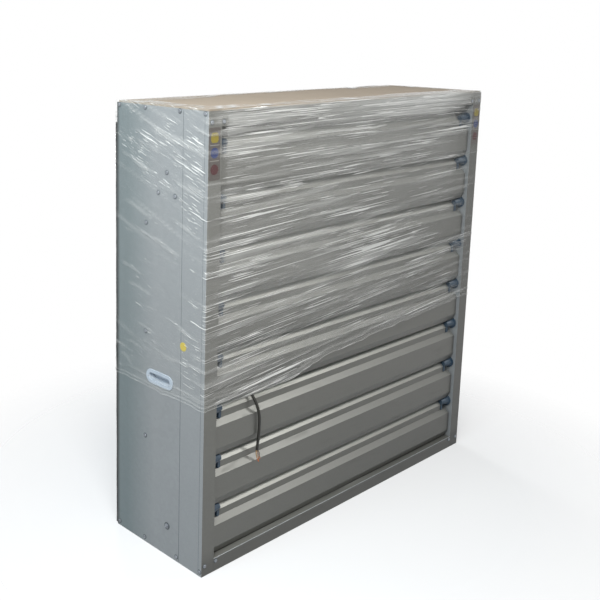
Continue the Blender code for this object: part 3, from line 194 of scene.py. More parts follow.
class Net:
    """Builds one shader tree; a value may be a number, a colour, a vector or another node's output."""

    def __init__(self, tree):
        self.tree = tree

    def fill(self, sockets, values):
        for key, value in dict(values).items():
            socket = sockets[key]
            if isinstance(value, bpy.types.NodeSocket):
                self.tree.links.new(value, socket)
            elif isinstance(value, (int, float)):
                socket.default_value = value
            else:
                socket.default_value = (*value, 1.0)[: len(socket.default_value)]

    def node(self, kind, inputs=(), **settings):
        """A node with its settings, and its inputs by name or number."""
        made = self.tree.nodes.new(f"ShaderNode{kind}")
        for key, value in settings.items():
            setattr(made, key, value)
        self.fill(made.inputs, inputs)
        return made

    def math(self, operation, first, *others):
        for value in others:
            first = self.node("Math", {0: first, 1: value}, operation=operation).outputs[0]
        return first

    def add(self, *values):
        return self.math("ADD", *values)

    def times(self, *values):
        return self.math("MULTIPLY", *values)

    def highest(self, *values):
        return self.math("MAXIMUM", *values)

    def centred(self, value):
        return self.math("SUBTRACT", value, 0.5)

    def mix(self, factor, first, second):
        return self.node("Mix", {0: factor, 6: first, 7: second}, data_type="RGBA").outputs[2]

    def ramp(self, value, low, high, new_low=0.0, new_high=1.0):
        return self.node("MapRange", enumerate((value, low, high, new_low, new_high))).outputs[0]

    def place(self, output="Object"):
        return self.node("TexCoord").outputs[output]

    def split(self, output="Object"):
        """The three parts of a place or a normal."""
        return self.node("SeparateXYZ", {0: self.place(output)}).outputs

    def stretched(self, scale=(1, 1, 1)):
        """Places on the object stretched along the axes, for noise with a grain."""
        return self.node("Mapping", {"Vector": self.place(), "Scale": scale}).outputs[0]

    def noise(self, vector, scale, detail=3.0, roughness=0.5):
        inputs = {"Vector": vector, "Scale": scale, "Detail": detail, "Roughness": roughness}
        return self.node("TexNoise", inputs).outputs["Fac"]

    def relief(self, shader, height, strength, depth):
        bump = self.node("Bump", {"Height": height, "Strength": strength, "Distance": depth})
        self.fill(shader, {"Normal": bump.outputs[0]})

    def finish(self, sockets, *values):
        """Feeds a group's results in their order and returns its tree."""
        self.fill(sockets, enumerate(values))
        return self.tree


def new_group(name, inputs, outputs=("Colour", "Roughness", "Height")):
    """A shader node group; inputs gives each socket's default, a float or a colour."""
    group = bpy.data.node_groups.new(name, "ShaderNodeTree")
    for key, default in inputs.items():
        kind = "NodeSocketFloat" if isinstance(default, float) else "NodeSocketColor"
        group.interface.new_socket(name=key, in_out="INPUT", socket_type=kind).default_value = default
    for key in outputs:
        kind = "NodeSocketColor" if key == "Colour" else "NodeSocketFloat"
        group.interface.new_socket(name=key, in_out="OUTPUT", socket_type=kind)
    entry = group.nodes.new("NodeGroupInput")
    leave = group.nodes.new("NodeGroupOutput")
    return Net(group), entry.outputs, leave.inputs


GREY = (0.5, 0.5, 0.5, 1)


def sheet_group():
    """Rolled, zinc-coated sheet: spangle, rolling grain, soft clouds, scuffs, and upward faces made paler by dust
    and painted light.
    """
    net, given, out = new_group(
        "Zinc sheet",
        {"Colour": GREY, "Spangle Scale": 80.0, "Spangle": 0.1, "Clouds": 0.1, "Grain": 0.1, "Dust": 0.0},
    )
    plain = net.stretched()
    cells = net.node("TexVoronoi", {"Vector": plain, "Scale": given["Spangle Scale"]})
    crystal = net.node("SeparateColor", {0: cells.outputs["Color"]}).outputs
    spangle = net.times(net.centred(crystal[0]), given["Spangle"])
    clouds = net.times(net.centred(net.noise(plain, 3.1, 4.0, 0.55)), given["Clouds"])
    grain = net.times(net.centred(net.noise(net.stretched((2, 2, 190)), 1.0, 4.0, 0.6)), given["Grain"])
    total = net.add(spangle, clouds, grain)
    # On the shutter this paler tone on upward faces is a little dust and mostly painted light.
    upward_dust_and_painted_light = net.times(net.ramp(net.split("Normal")[2], 0.2, 0.75), given["Dust"])
    shaded = {0: given["Colour"], "Scale": net.add(total, upward_dust_and_painted_light, 1.0)}
    colour = net.node("VectorMath", shaded, operation="SCALE").outputs[0]
    scuff = net.ramp(net.noise(net.stretched((1, 1, 6)), 9.0, 5.0, 0.65), 0.56, 0.72, 0.0, 0.16)
    height = net.add(net.noise(plain, 2.3, 2.0, 0.4), net.times(crystal[1], 0.02))
    return net.finish(out, colour, net.add(net.times(total, 0.9), 0.36, scuff), height)


def moulding_group():
    """Moulded plastic: a fine grain, dust in patches and slight colour changes."""
    net, given, out = new_group("Moulded surface", {"Colour": GREY, "Dust Colour": GREY, "Dust": 0.2})
    plain = net.stretched()
    patches = net.ramp(net.noise(plain, 32.0, 4.0, 0.6), 0.42, 0.72)
    colour = net.mix(net.times(patches, given["Dust"]), given["Colour"], given["Dust Colour"])
    return net.finish(out, colour, net.ramp(patches, 0.0, 1.0, 0.38, 0.62), net.noise(plain, 900.0, 2.0, 0.5))


def cast_group():
    """Cast or ground metal: pitted skin with oily darker patches."""
    net, given, out = new_group("Cast metal", {"Colour": (0.3, 0.3, 0.3, 1), "Pits": 0.5})
    plain = net.stretched()
    oil = net.ramp(net.noise(plain, 18.0, 3.0, 0.6), 0.45, 0.7)
    darker = net.mix(0.35, given["Colour"], (0.02, 0.02, 0.02))
    height = net.times(net.noise(plain, 260.0, 4.0, 0.6), given["Pits"])
    return net.finish(out, net.mix(oil, given["Colour"], darker), net.ramp(oil, 0.0, 1.0, 0.55, 0.30), height)


def streak_group():
    """Stretched film: short bright streaks along the map's first direction, thick where the film is gathered; their
    white cover stands for the film's creases and partly paints the glints off them.
    """
    net, given, out = new_group(
        "Film streaks",
        {"Haze": 0.04, "Streak Cover": 0.6, "Gather": 0.0, "Crease": 0.0},
        ("Cover", "Roughness", "Height"),
    )
    along = net.node("UVMap", uv_map="along").outputs[0]

    def field(scale, detail):
        mapping = net.node("Mapping", {"Vector": along, "Scale": (*scale, 1)})
        return net.noise(mapping.outputs[0], 1.0, detail, 0.5)

    dense = net.times(net.centred(given["Gather"]), 0.24)
    patch = net.times(net.centred(field((2.0, 17), 2.0)), 0.40)
    bias = net.add(dense, patch)

    def streaks(scale, detail, low, high):
        return net.ramp(net.add(field(scale, detail), bias), low, high)

    broad = streaks((1.3, 34), 2.0, 0.52, 0.66)
    long = streaks((2.2, 170), 1.0, 0.668, 0.688)
    short = streaks((6, 300), 1.0, 0.676, 0.696)
    hair = net.times(streaks((5, 800), 0.0, 0.65, 0.70), 0.25)
    lines = net.highest(long, short, hair)
    # The streaks' white cover is partly painted glint.
    bright = net.times(lines, given["Streak Cover"])
    ridges = net.times(given["Crease"], given["Streak Cover"])
    thick = net.highest(net.math("SUBTRACT", given["Gather"], 0.55), 0.0)
    veil = net.add(given["Haze"], net.times(broad, 0.22), net.times(thick, 0.75))
    total = net.add(veil, net.highest(bright, ridges))
    height = net.add(broad, net.times(lines, 0.4))
    return net.finish(out, net.math("MINIMUM", total, 0.95), net.ramp(total, 0.05, 0.7, 0.30, 0.14), height)


def new_material(name):
    """A material's net and its shader's inputs."""
    material = bpy.data.materials.new(name)
    material.use_nodes = True
    net = Net(material.node_tree)
    return net, net.tree.nodes["Principled BSDF"].inputs


def surface(name, group, metallic, strength, depth, values):
    """A material whose colour, roughness and relief come from one group; a value may be built in its net."""
    net, shader = new_material(name)
    values = {key: value(net) if callable(value) else value for key, value in values.items()}
    skin = net.node("Group", values, node_tree=group).outputs
    net.fill(shader, {"Base Color": skin["Colour"], "Roughness": skin["Roughness"], "Metallic": metallic})
    net.relief(shader, skin["Height"], strength, depth)


def material_called(name):
    found = bpy.data.materials.get(name)
    if found is None:
        raise RuntimeError(f"the finishes come first: {name} is missing")
    return found


# Mesh helpers


def place_object(name, mesh, materials, slot=None, body="casing"):
    """Puts a mesh in the scene on a body, with its materials by name; its slot argument is not used."""
    obj = bpy.data.objects.new(name, mesh)
    for material in materials:
        mesh.materials.append(material_called(material))
    bpy.context.scene.collection.objects.link(obj)
    if body is not None:
        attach(obj, body)
    return obj


def mesh_object(name, bm, materials, slot=None, body="casing", smooth=True):
    mesh = bpy.data.meshes.new(name)
    bmesh.ops.recalc_face_normals(bm, faces=bm.faces)
    bm.to_mesh(mesh)
    bm.free()
    if smooth:
        mesh.shade_smooth()
        mesh.set_sharp_from_angle(angle=math.radians(38))
    return place_object(name, mesh, materials, slot, body)


def turn_to(direction):
    """Rotation that takes local Z to a direction."""
    return Vector((0, 0, 1)).rotation_difference(Vector(direction)).to_matrix().to_4x4()


def round_points(sides):
    """Points of a circle of radius 1; a single one is its centre."""
    if sides == 1:
        return [(0, 0)]
    angles = [2 * math.pi * i / sides for i in range(sides)]
    return [(math.cos(angle), math.sin(angle)) for angle in angles]


def bridge(bm, first, second):
    """Faces between two rings of vertices, of which one may be a single tip."""
    faces = []
    for i in range(max(len(first), len(second))):
        a, b = first[i % len(first)], first[(i + 1) % len(first)]
        c, d = second[(i + 1) % len(second)], second[i % len(second)]
        faces.append(bm.faces.new(list(dict.fromkeys((a, b, c, d)))))
    return faces


def bridge_all(bm, rings):
    return [face for first, second in zip(rings, rings[1:]) for face in bridge(bm, first, second)]


def closed_rings(bm, rings):
    """Faces along rings of points, with both ends closed."""
    rings = [[bm.verts.new(point) for point in ring] for ring in rings]
    return [bm.faces.new(rings[0][::-1]), bm.faces.new(rings[-1]), *bridge_all(bm, rings)]


def lathe(bm, profile, sides, matrix):
    """Turns (radius, along) points about the matrix's Z axis; a radius of zero closes an end."""
    rings = []
    for radius, along in profile:
        spots = round_points(sides if radius else 1)
        rings.append([bm.verts.new(matrix @ Vector((radius * x, radius * y, along))) for x, y in spots])
    return bridge_all(bm, rings)


def spline_points(route, spacing, steps=24):
    """Evenly spaced points on a smooth curve through a route, and the curve's length."""
    knots = [np.array(p) for p in route]
    ends = [2 * knots[0] - knots[1], *knots, 2 * knots[-1] - knots[-2]]
    t = np.arange(steps)[:, None] / steps
    fine = [
        (2 * b + (c - a) * t + (2 * a - 5 * b + 4 * c - d) * t**2 + (3 * b - a - 3 * c + d) * t**3) / 2
        for a, b, c, d in zip(ends, ends[1:], ends[2:], ends[3:])
    ]
    fine = np.vstack([*fine, knots[-1]])
    reach = np.concatenate([[0.0], np.cumsum(np.linalg.norm(np.diff(fine, axis=0), axis=1))])
    even = np.linspace(0, reach[-1], max(2, round(reach[-1] / spacing)) + 1)
    return [Vector(p) for p in zip(*(np.interp(even, reach, row) for row in fine.T))], float(reach[-1])


def tube(bm, points, radius, sides):
    """A closed round tube along points, whose rings are carried on without a twist."""
    side = (points[1] - points[0]).normalized().orthogonal().normalized()
    rings = []
    for i, point in enumerate(points):
        ahead = points[min(i + 1, len(points) - 1)]
        behind = points[max(i - 1, 0)]
        direction = (ahead - behind).normalized()
        side = (side - direction * side.dot(direction)).normalized()
        other = direction.cross(side)
        rings.append([point + (side * x + other * y) * radius for x, y in round_points(sides)])
    closed_rings(bm, rings)


# Finishes; a slot's finish has the slot's own name, apart from these
OTHER_NAMES = {
    "guard_wire": "zinc plate",
    "cast_metal": "cast iron",
    "cable_black": "cord sheath",
    "box_plastic": "grey plastic",
    "card": "corrugated card",
}


def sheet_finishes(chosen, group):
    """The finishes of plain sheet metal."""
    casing, shutter = chosen.casing_colour, chosen.shutter_colour
    # Name, share of metal, relief's strength and depth, colour, crystals' fineness and tone, clouds, grain, dust and
    # painted light on upward faces
    rows = [
        ("galvanised casing", 0.22, 0.25, 0.004, lambda net: shaded_rear(net, casing), 1, 0.07, 0.12, 0.02, 0.0),
        ("shutter sheet", 0.25, 0.2, 0.003, lambda net: painted_shade(net, shutter), 4, 0.05, 0.10, 0.03, dust_and_painted_fold_light),
        ("stile sheet", 0.22, 0.2, 0.003, lambda net: two_sides(net, shutter, casing), 2, 0.05, 0.10, 0.02, 0.0),
        ("blade steel", 1.0, 0.15, 0.002, rgb((205, 207, 210)), 10, 0.03, 0.06, 0.10, 0.0),
    ]
    for name, metallic, strength, depth, colour, fineness, spangle, clouds, grain, dust in rows:
        values = {"Colour": colour, "Spangle Scale": fineness / chosen.spangle_size, "Spangle": spangle}
        values |= {"Clouds": clouds, "Grain": grain, "Dust": dust}
        surface(name, group, metallic, strength, depth, values)


def sideways(net, low, high):
    """1 on walls that face left or right, 0 on the others."""
    across = net.node("Math", {0: net.split("Normal")[0]}, operation="ABSOLUTE").outputs[0]
    return net.ramp(across, low, high)


def shaded_rear(net, colour):
    """The sheet's colour, duller towards the rear, with a painted shadow darkest on the side walls' rear edge."""
    depth = net.split()[1]
    dull = net.mix(net.ramp(depth, 0.02, 0.15, 0.0, 0.70), colour, rgb((98, 116, 118)))
    # Painted shadow along the side walls' rear edge, where the rear flange and the sealing strip shade it.
    edge = net.times(sideways(net, 0.5, 0.9), net.ramp(depth, 0.188, 0.197, 0.0, 0.80))
    return net.mix(edge, dull, rgb((46, 54, 56)))


def painted_shade(net, colour):
    """The shutter's colour with painted shade, a little darker low down, to the right, beside the right stile and on
    the bottom rail.
    """
    x, _, z = net.split()
    # Painted shade: each ramp darkens the sheet lower down, further right, on the right stile and at the foot, where
    # less light falls.
    low = net.ramp(z, 0.85, 0.0, 0.0, 0.27)
    right = net.ramp(x, -0.4, 0.7, 0.0, 0.24)
    painted_stile_shade = net.ramp(x, 0.636, 0.642, 0.0, 0.30)
    foot = net.ramp(z, 0.075, 0.030, 0.0, 0.36)
    return net.mix(net.add(low, right, painted_stile_shade, foot), colour, scaled(colour, 0.25))


def two_sides(net, front, side):
    """One colour, with its painted shade, on the front face; the casing's on the wall that is turned back."""
    return net.mix(sideways(net, 0.4, 0.8), painted_shade(net, front), side)


def dust_and_painted_fold_light(net):
    """Dust and painted light on upward faces: more on each louvre's upper fold than on its lower one, most high on
    the upper fold where the lip above shades it, and painted light on the bottom rail's ledge.
    """
    level = net.split()[2]
    within = net.math("MODULO", net.math("SUBTRACT", level, LOWEST_LOUVRE - 0.05), LOUVRE_PITCH)
    # Painted light on the bottom rail's ledge, which the louvre above shades.
    ledge = net.ramp(level, 0.046, 0.050, 0.70, 0.0)
    return net.add(net.ramp(within, 0.022, 0.060, 0.20, 2.20), ledge)


def card_finish(colour):
    """Brown card: fibres and blotches, and flutes that show faintly through the liner."""
    net, shader = new_material("corrugated card")
    fibres = net.noise(net.stretched((60, 220, 60)), 3.0, 5.0, 0.7)
    blotch = net.noise(net.stretched(), 4.0, 4.0, 0.6)
    shade = net.add(net.times(fibres, 0.22), net.times(blotch, 0.24))
    tone = net.mix(net.ramp(shade, 0.15, 0.34), scaled(colour, 0.82), scaled(colour, 1.08))
    net.fill(shader, {"Base Color": tone, "Roughness": 0.86})
    flutes = net.node("TexWave", {"Vector": net.stretched(), "Scale": 36.0, "Distortion": 0.4})
    net.relief(shader, net.add(flutes.outputs["Fac"], fibres), 0.3, 0.0008)


class FAN_OT_finishes(bpy.types.Operator):
    """Make the materials and give every solid its own"""

    bl_idname = "fan.finishes"
    bl_label = "Finishes"

    def execute(self, context):
        chosen = context.scene.fan_finish
        sheet_finishes(chosen, sheet_group())
        # Name, relief's strength and depth, colour, dust's colour and share
        moulded = [
            # Dark sealant on the seams; the same material paints the shadow in the turned edge's gap and under the
            # screw heads, and darkens the earth bolt's washer.
            ("seam sealant", 0.2, 0.0003, rgb((76, 83, 87)), (104, 109, 112), 0.3),
            ("blue plastic", 0.2, 0.0004, chosen.plastic_colour, (120, 128, 140), 0.25),
            ("pale plastic", 0.2, 0.0004, chosen.cup_colour, (150, 160, 170), 0.25),
            ("grey plastic", 0.25, 0.0004, rgb((150, 152, 154)), (120, 116, 108), 0.3),
            ("belt rubber", 0.4, 0.0006, rgb((34, 34, 35)), (74, 72, 68), 0.5),
            ("strip rubber", 0.2, 0.0003, rgb((14, 16, 17)), (40, 44, 45), 0.2),
            ("cord sheath", 0.15, 0.0003, context.scene.fan_cord.colour, (52, 50, 38), 0.25),
            ("motor paint", 0.35, 0.0006, chosen.motor_colour, (92, 104, 116), 0.3),
        ]
        moulding = moulding_group()
        for name, strength, depth, colour, dusty, dust in moulded:
            values = {"Colour": colour, "Dust Colour": rgb(dusty), "Dust": dust}
            surface(name, moulding, 0.0, strength, depth, values)
        # Name, share of metal, relief's strength and depth, colour, pits
        metals = [
            ("cast iron", 0.7, 0.4, 0.001, (112, 115, 118), 0.8),
            ("bright steel", 1.0, 0.1, 0.0003, (196, 196, 198), 0.2),
            ("zinc plate", 0.6, 0.1, 0.0003, (148, 152, 158), 0.2),
            ("copper strands", 1.0, 0.1, 0.0002, (214, 138, 92), 0.2),
        ]
        cast = cast_group()
        for name, metallic, strength, depth, colour, pits in metals:
            surface(name, cast, metallic, strength, depth, {"Colour": rgb(colour), "Pits": pits})
        card_finish(chosen.card_colour)
        slots = {row["node"]: row["material_slot"] for row in frame["record"]["subparts"]}
        for name, obj in NODES.items():
            finish = OTHER_NAMES.get(slots[name], slots[name].replace("_", " "))
            for place in obj.material_slots:
                place.material = material_called("stile sheet" if name.startswith("frame_stile") else finish)
        return {"FINISHED"}


# Routes of the supply cord, as the solid has it, and of the motor's lead, with its tightest bend eased
SUPPLY_ROUTE = [
    (-0.656, -0.030, 1.0867), (-0.656, -0.030, 1.064), (-0.656, -0.030, 1.040), (-0.657, -0.032, 1.000),
    (-0.658, -0.042, 0.945), (-0.658, -0.062, 0.890), (-0.657, -0.086, 0.838), (-0.651, -0.107, 0.792),
    (-0.632, -0.119, 0.750), (-0.600, -0.123, 0.714), (-0.562, -0.124, 0.686), (-0.524, -0.124, 0.659),
    (-0.494, -0.131, 0.640), (-0.477, -0.149, 0.619), (-0.472, -0.162, 0.600), (-0.472, -0.162, 0.578),
    (-0.472, -0.162, 0.5557), (-0.472, -0.162, 0.543), (-0.4713, -0.1652, 0.530), (-0.4695, -0.1738, 0.512),
    (-0.467, -0.186, 0.497), (-0.464, -0.194, 0.480), (-0.459, -0.1975, 0.460), (-0.455, -0.1985, 0.437),
    (-0.454, -0.198, 0.410), (-0.455, -0.1972, 0.383), (-0.4575, -0.1965, 0.355), (-0.459, -0.196, 0.333),
]  # fmt: skip
MOTOR_LEAD_ROUTE = [
    (-0.3053, 0.1060, 1.2000), (-0.3441, 0.1063, 1.1956), (-0.3821, 0.1078, 1.1855), (-0.4208, 0.1093, 1.1794),
    (-0.4598, 0.1101, 1.1831), (-0.4966, 0.1102, 1.1964), (-0.5300, 0.1066, 1.2168), (-0.5594, 0.0944, 1.2395),
    (-0.5749, 0.0820, 1.2521), (-0.5834, 0.0703, 1.2580), (-0.5892, 0.0548, 1.2616), (-0.5912, 0.0407, 1.2628),
    (-0.5937, 0.0254, 1.2648), (-0.5980, 0.0110, 1.2695), (-0.6050, -0.0017, 1.2754), (-0.6151, -0.0122, 1.2811),
    (-0.6278, -0.0202, 1.2827), (-0.6405, -0.0256, 1.2783), (-0.6504, -0.0288, 1.2685), (-0.6557, -0.0299, 1.2546),
    (-0.6560, -0.0300, 1.2390), (-0.6560, -0.0300, 1.2233),
]  # fmt: skip
CORD_SIDES = 14
CORD_SPACING = 0.008
# Each conductor's name, colour, offset in the sheath and reach beyond it
CONDUCTORS = [
    ("brown", (150, 96, 48), (0.0016, 0.0010), (0.0052, -0.0016, -0.0320)),
    ("ochre", (176, 128, 52), (-0.0018, 0.0006), (0.0016, 0.0004, -0.0290)),
    ("grey", (120, 108, 92), (0.0002, -0.0019), (0.0078, -0.0042, -0.0235)),
]


def lay_sheath(name, route, radius, body):
    points, length = spline_points(route, CORD_SPACING)
    bm = bmesh.new()
    tube(bm, points, radius, CORD_SIDES)
    return mesh_object(name, bm, ["cord sheath"], body=body), points, length


def hang(cord, points, length, radius, far_end, **more):
    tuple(points[0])
    [tuple(p) for p in points]


def splay_conductors(chosen, start):
    """Three insulated conductors that splay out of the sheath, each with a stripped copper end."""
    made = []
    for name, colour, offset, reach in CONDUCTORS:
        net, shader = new_material(f"{name} insulation")
        base = rgb(colour)
        tone = net.mix(net.noise(net.stretched(), 240.0), scaled(base, 0.8), scaled(base, 1.15))
        net.fill(shader, {"Base Color": tone, "Roughness": 0.45})
        root = start + Vector((*offset, 0.004))
        tip = start + Vector(reach)
        middle = root.lerp(tip, 0.55) + Vector((*offset, 0)) * 1.2
        points, _ = spline_points([root, middle, tip], 0.003)
        bm = bmesh.new()
        tube(bm, points, chosen.conductor_radius, 8)
        made.append(mesh_object(f"conductor_{name}", bm, [f"{name} insulation"], "cable_black", "louvre_6"))
        bm = bmesh.new()
        ahead = (points[-1] - points[-2]).normalized()
        for k in range(5):
            side = Matrix.Rotation(2 * math.pi * k / 5, 3, ahead) @ ahead.orthogonal().normalized()
            base_point = points[-1] + side * 0.0006 - ahead * 0.001
            bend = [base_point + ahead * 0.004 + side * 0.0004, base_point + ahead * 0.009 + side * 0.0013]
            tube(bm, [base_point, *bend], 0.00035, 5)
        made.append(mesh_object(f"strands_{name}", bm, ["copper strands"], "cable_black", "louvre_6"))
    return made


class FAN_OT_cord(bpy.types.Operator):
    """Lay the supply cord and its stripped conductors, and the motor's lead"""

    bl_idname = "fan.cord"
    bl_label = "Cords"

    def execute(self, context):
        chosen = context.scene.fan_cord
        cord, points, length = lay_sheath("supply_cord", SUPPLY_ROUTE, chosen.radius, None)
        conductors = splay_conductors(chosen, points[-1])
        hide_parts("supply_lead", "cord_tail")
        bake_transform(cord)
        hang(cord, points, length, chosen.radius, "bare", with_pieces=conductors)
        lead, points, length = lay_sheath("motor_lead_sheath", MOTOR_LEAD_ROUTE, chosen.lead_radius, "casing")
        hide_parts("motor_lead")
        hang(lead, points, length, chosen.lead_radius, "object")
        return {"FINISHED"}


# Places on the sides as (y, z), on the front as (x, z) and along the rear flange, and the rivets' on the blades
SIDE_SCREWS = [
    *((y, 1.373) for y in (0.189, 0.068, -0.083, -0.187)),
    *((y, 0.015) for y in (0.189, 0.062, -0.088, -0.192)),
    *((0.062, z) for z in (1.033, 0.697, 0.359)),
]
BOX_SCREWS = [(-0.030, 1.194), (0.007, 1.131), (-0.066, 1.129)]
EARTH_BOLT = (-0.044, 0.099)
FRONT_SCREWS = [(x, z) for x in (0.632, 0.6775) for z in (0.032, 1.350)]
FLANGE_SCREWS = [-0.56, -0.19, 0.19, 0.56]
FLANGE_MIDDLE = HALF_WIDTH - 0.020
RIVET_RADII = (0.120, 0.165, 0.212)
RIVET_OFFSETS = (-0.013, 0.013)
BLADE_MIDDLE_Y = -0.064
HALF_BLADE = 0.00125
HEAD_SIDES = 24


def round_places(count, first, radius, y, centre=(0.0, AXIS_HEIGHT)):
    """Places evenly round a centre, the first at an angle in degrees."""
    angles = [math.radians(first + 360 / count * i) for i in range(count)]
    return [(centre[0] + radius * math.cos(a), y, centre[1] + radius * math.sin(a)) for a in angles]


def twisted(name, spots, direction, most):
    """A matrix for each head, facing a direction and turned at random as a driver leaves it."""
    draw = random.Random(name)
    for spot in spots:
        twist = Matrix.Rotation(draw.uniform(0, most), 4, "Z")
        yield Matrix.Translation(spot) @ turn_to(direction) @ twist


def pan_head(bm, matrix, radius, height):
    """Pan head on a dark ring that paints its contact shadow, with a pressed cross in its top."""
    # The dark ring round the head's foot is painted contact shadow.
    washer = [(1.42 * radius, 0.0), (1.42 * radius, 0.0005), (0.98 * radius, 0.0007)]
    for face in lathe(bm, washer, HEAD_SIDES, matrix):
        face.material_index = 1
    dome = [(1.0, 0.0006), (0.99, 0.55 * height), (0.93, 0.78 * height), (0.80, 0.92 * height)]
    dome += [(share, height) for share in (0.60, 0.50, 0.40, 0.28, 0.16)]
    rings = []
    for share, level in dome:
        ring = []
        for x, y in ((share * x, share * y) for x, y in round_points(HEAD_SIDES)):
            in_cross = share < 0.55 and min(abs(x), abs(y)) < 0.13
            depth = 0.55 * height if in_cross else 0.0
            ring.append(bm.verts.new(matrix @ Vector((x * radius, y * radius, level - depth))))
        rings.append(ring)
    bridge_all(bm, rings)
    bm.faces.new(rings[-1])


def fit_screws(name, spots, direction, chosen):
    bm = bmesh.new()
    for matrix in twisted(name, spots, direction, math.pi / 2):
        pan_head(bm, matrix, chosen.head_radius, chosen.head_height)
    mesh_object(name, bm, ["zinc plate", "seam sealant"], "bright_steel")


def fit_bolts(name, spots, direction, radius, material, body):
    """Hexagon heads with a chamfered top, each on a washer."""
    bm = bmesh.new()
    base = 0.0014
    top = base + 0.62 * radius
    washer = [(share * radius, level) for share, level in ((0.35, 0), (1.45, 0), (1.45, base), (0.35, base))]
    head = [(0, base), (radius, base), (radius, top - 0.06 * radius), (0.86 * radius, top), (0, top)]
    for matrix in twisted(name, spots, direction, math.pi / 3):
        lathe(bm, washer, 20, matrix)
        lathe(bm, head, 6, matrix)
    mesh_object(name, bm, [material], "bright_steel", body)


def fit_earth_bolt(name, side, radius):
    """Stud with nut and two washers, where the earth wire is fastened."""
    bm = bmesh.new()
    matrix = Matrix.Translation((side * HALF_WIDTH, *EARTH_BOLT)) @ turn_to((side, 0, 0))
    # Sides, material and profile of the dark washer, the washer, the nut and the stud
    for sides, material, profile in (
        (24, 1, ((0.4, 0), (2.2, 0), (2.2, 0.001), (0.4, 0.001))),
        (24, 0, ((0.4, 0.001), (1.5, 0.001), (1.5, 0.0019), (0.4, 0.0019))),
        (6, 0, ((0, 0.0019), (1, 0.0019), (1, 0.0052), (0.85, 0.0057), (0, 0.0057))),
        (16, 0, ((0.55, 0.0057), (0.55, 0.0075), (0.42, 0.0082), (0, 0.0082))),
    ):
        for face in lathe(bm, [(share * radius, level) for share, level in profile], sides, matrix):
            face.material_index = material
    mesh_object(name, bm, ["zinc plate", "seam sealant"], "bright_steel")


def fit_rivets():
    """Rivets that hold each blade to its arm."""
    bm = bmesh.new()
    normal = Vector((math.sin(BLADE_PITCH), -math.cos(BLADE_PITCH), 0))
    chord = Vector((math.cos(BLADE_PITCH), math.sin(BLADE_PITCH), 0))
    dome = [(0.0048, 0), (0.0046, 0.0012), (0.0034, 0.0021), (0.0016, 0.0026), (0, 0.0027)]
    for k in range(6):
        blade = Matrix.Translation((0, 0, AXIS_HEIGHT)) @ Matrix.Rotation(2 * math.pi * k / 6, 4, "Y")
        for radius in RIVET_RADII:
            for across in RIVET_OFFSETS:
                spot = Vector((0, BLADE_MIDDLE_Y, radius)) + chord * across + normal * HALF_BLADE
                lathe(bm, dome, 14, blade @ Matrix.Translation(spot) @ turn_to(normal))
    mesh_object("blade_rivets", bm, ["bright steel"], "bright_steel", "rotor")


class FAN_OT_fasteners(bpy.types.Operator):
    """Fit screws, rivets, the earth bolt and the drive's bolts"""

    bl_idname = "fan.fasteners"
    bl_label = "Fasteners"

    def execute(self, context):
        chosen = context.scene.fan_fasteners
        for side, end in ENDS:
            spots = SIDE_SCREWS + (BOX_SCREWS if side < 0 else [])
            fit_screws(f"screws_side_{end}", [(side * HALF_WIDTH, *spot) for spot in spots], (side, 0, 0), chosen)
            fit_earth_bolt(f"earth_bolt_{end}", side, 0.7 * chosen.bolt_radius)
            fit_screws(f"screws_front_{end}", [(side * x, FRONT, z) for x, z in FRONT_SCREWS], (0, -1, 0), chosen)
        rear = [(s * FLANGE_MIDDLE, REAR, AXIS_HEIGHT + h) for s in (-1, 1) for h in FLANGE_SCREWS]
        rear += [(h, REAR, AXIS_HEIGHT + s * FLANGE_MIDDLE) for s in (-1, 1) for h in FLANGE_SCREWS]
        fit_screws("screws_rear", rear, (0, 1, 0), chosen)
        foot = [(-0.1008, y, MOTOR_HEIGHT + s * 0.036) for y in (0.034, 0.094) for s in (-1, 1)]
        motor = round_places(4, 45, 0.057, 0.126, (MOTOR_X, MOTOR_HEIGHT))
        for name, spots, direction, share, material, body in (
            ("bearing_housing", round_places(4, 45, 0.047, 0.0677), (0, -1, 0), 1.0, "zinc plate", "casing"),
            ("motor", motor, (0, 1, 0), 0.6, "zinc plate", "casing"),
            ("motor_foot", foot, (1, 0, 0), 0.8, "zinc plate", "casing"),
            ("pulley_hub", round_places(3, 30, 0.0225, 0.172), (0, 1, 0), 0.55, "bright steel", "rotor"),
        ):
            fit_bolts(f"bolts_{name}", spots, direction, share * chosen.bolt_radius, material, body)
        fit_rivets()
        return {"FINISHED"}


class FAN_OT_guard_wires(bpy.types.Operator):
    """Weave the fine wires of the inlet guard between its bars"""

    bl_idname = "fan.guard_wires"
    bl_label = "Guard wires"

    def execute(self, context):
        chosen = context.scene.fan_guard
        low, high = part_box("inlet_guard")
        middle = (low + high) / 2
        border = 0.032
        reach = (high.x - low.x) / 2 - border
        count = round(2 * reach / chosen.pitch)
        pitch = 2 * reach / count
        for name, upright, layer in (("guard_wires_upright", True, -0.0010), ("guard_wires_level", False, 0.0010)):
            bm = bmesh.new()
            for i in range(1, count):
                place = -reach + pitch * i
                points = []
                for k in range(2 * count + 1):
                    along = -reach + pitch * k / 2
                    weave = 0.0003 * math.cos(math.pi * k / 2 + math.pi * i)
                    x, z = (place, along) if upright else (along, place)
                    points.append(middle + Vector((x, layer + weave, z)))
                tube(bm, points, chosen.wire_radius, 6)
            mesh_object(name, bm, ["zinc plate"], "guard_wire")
        return {"FINISHED"}


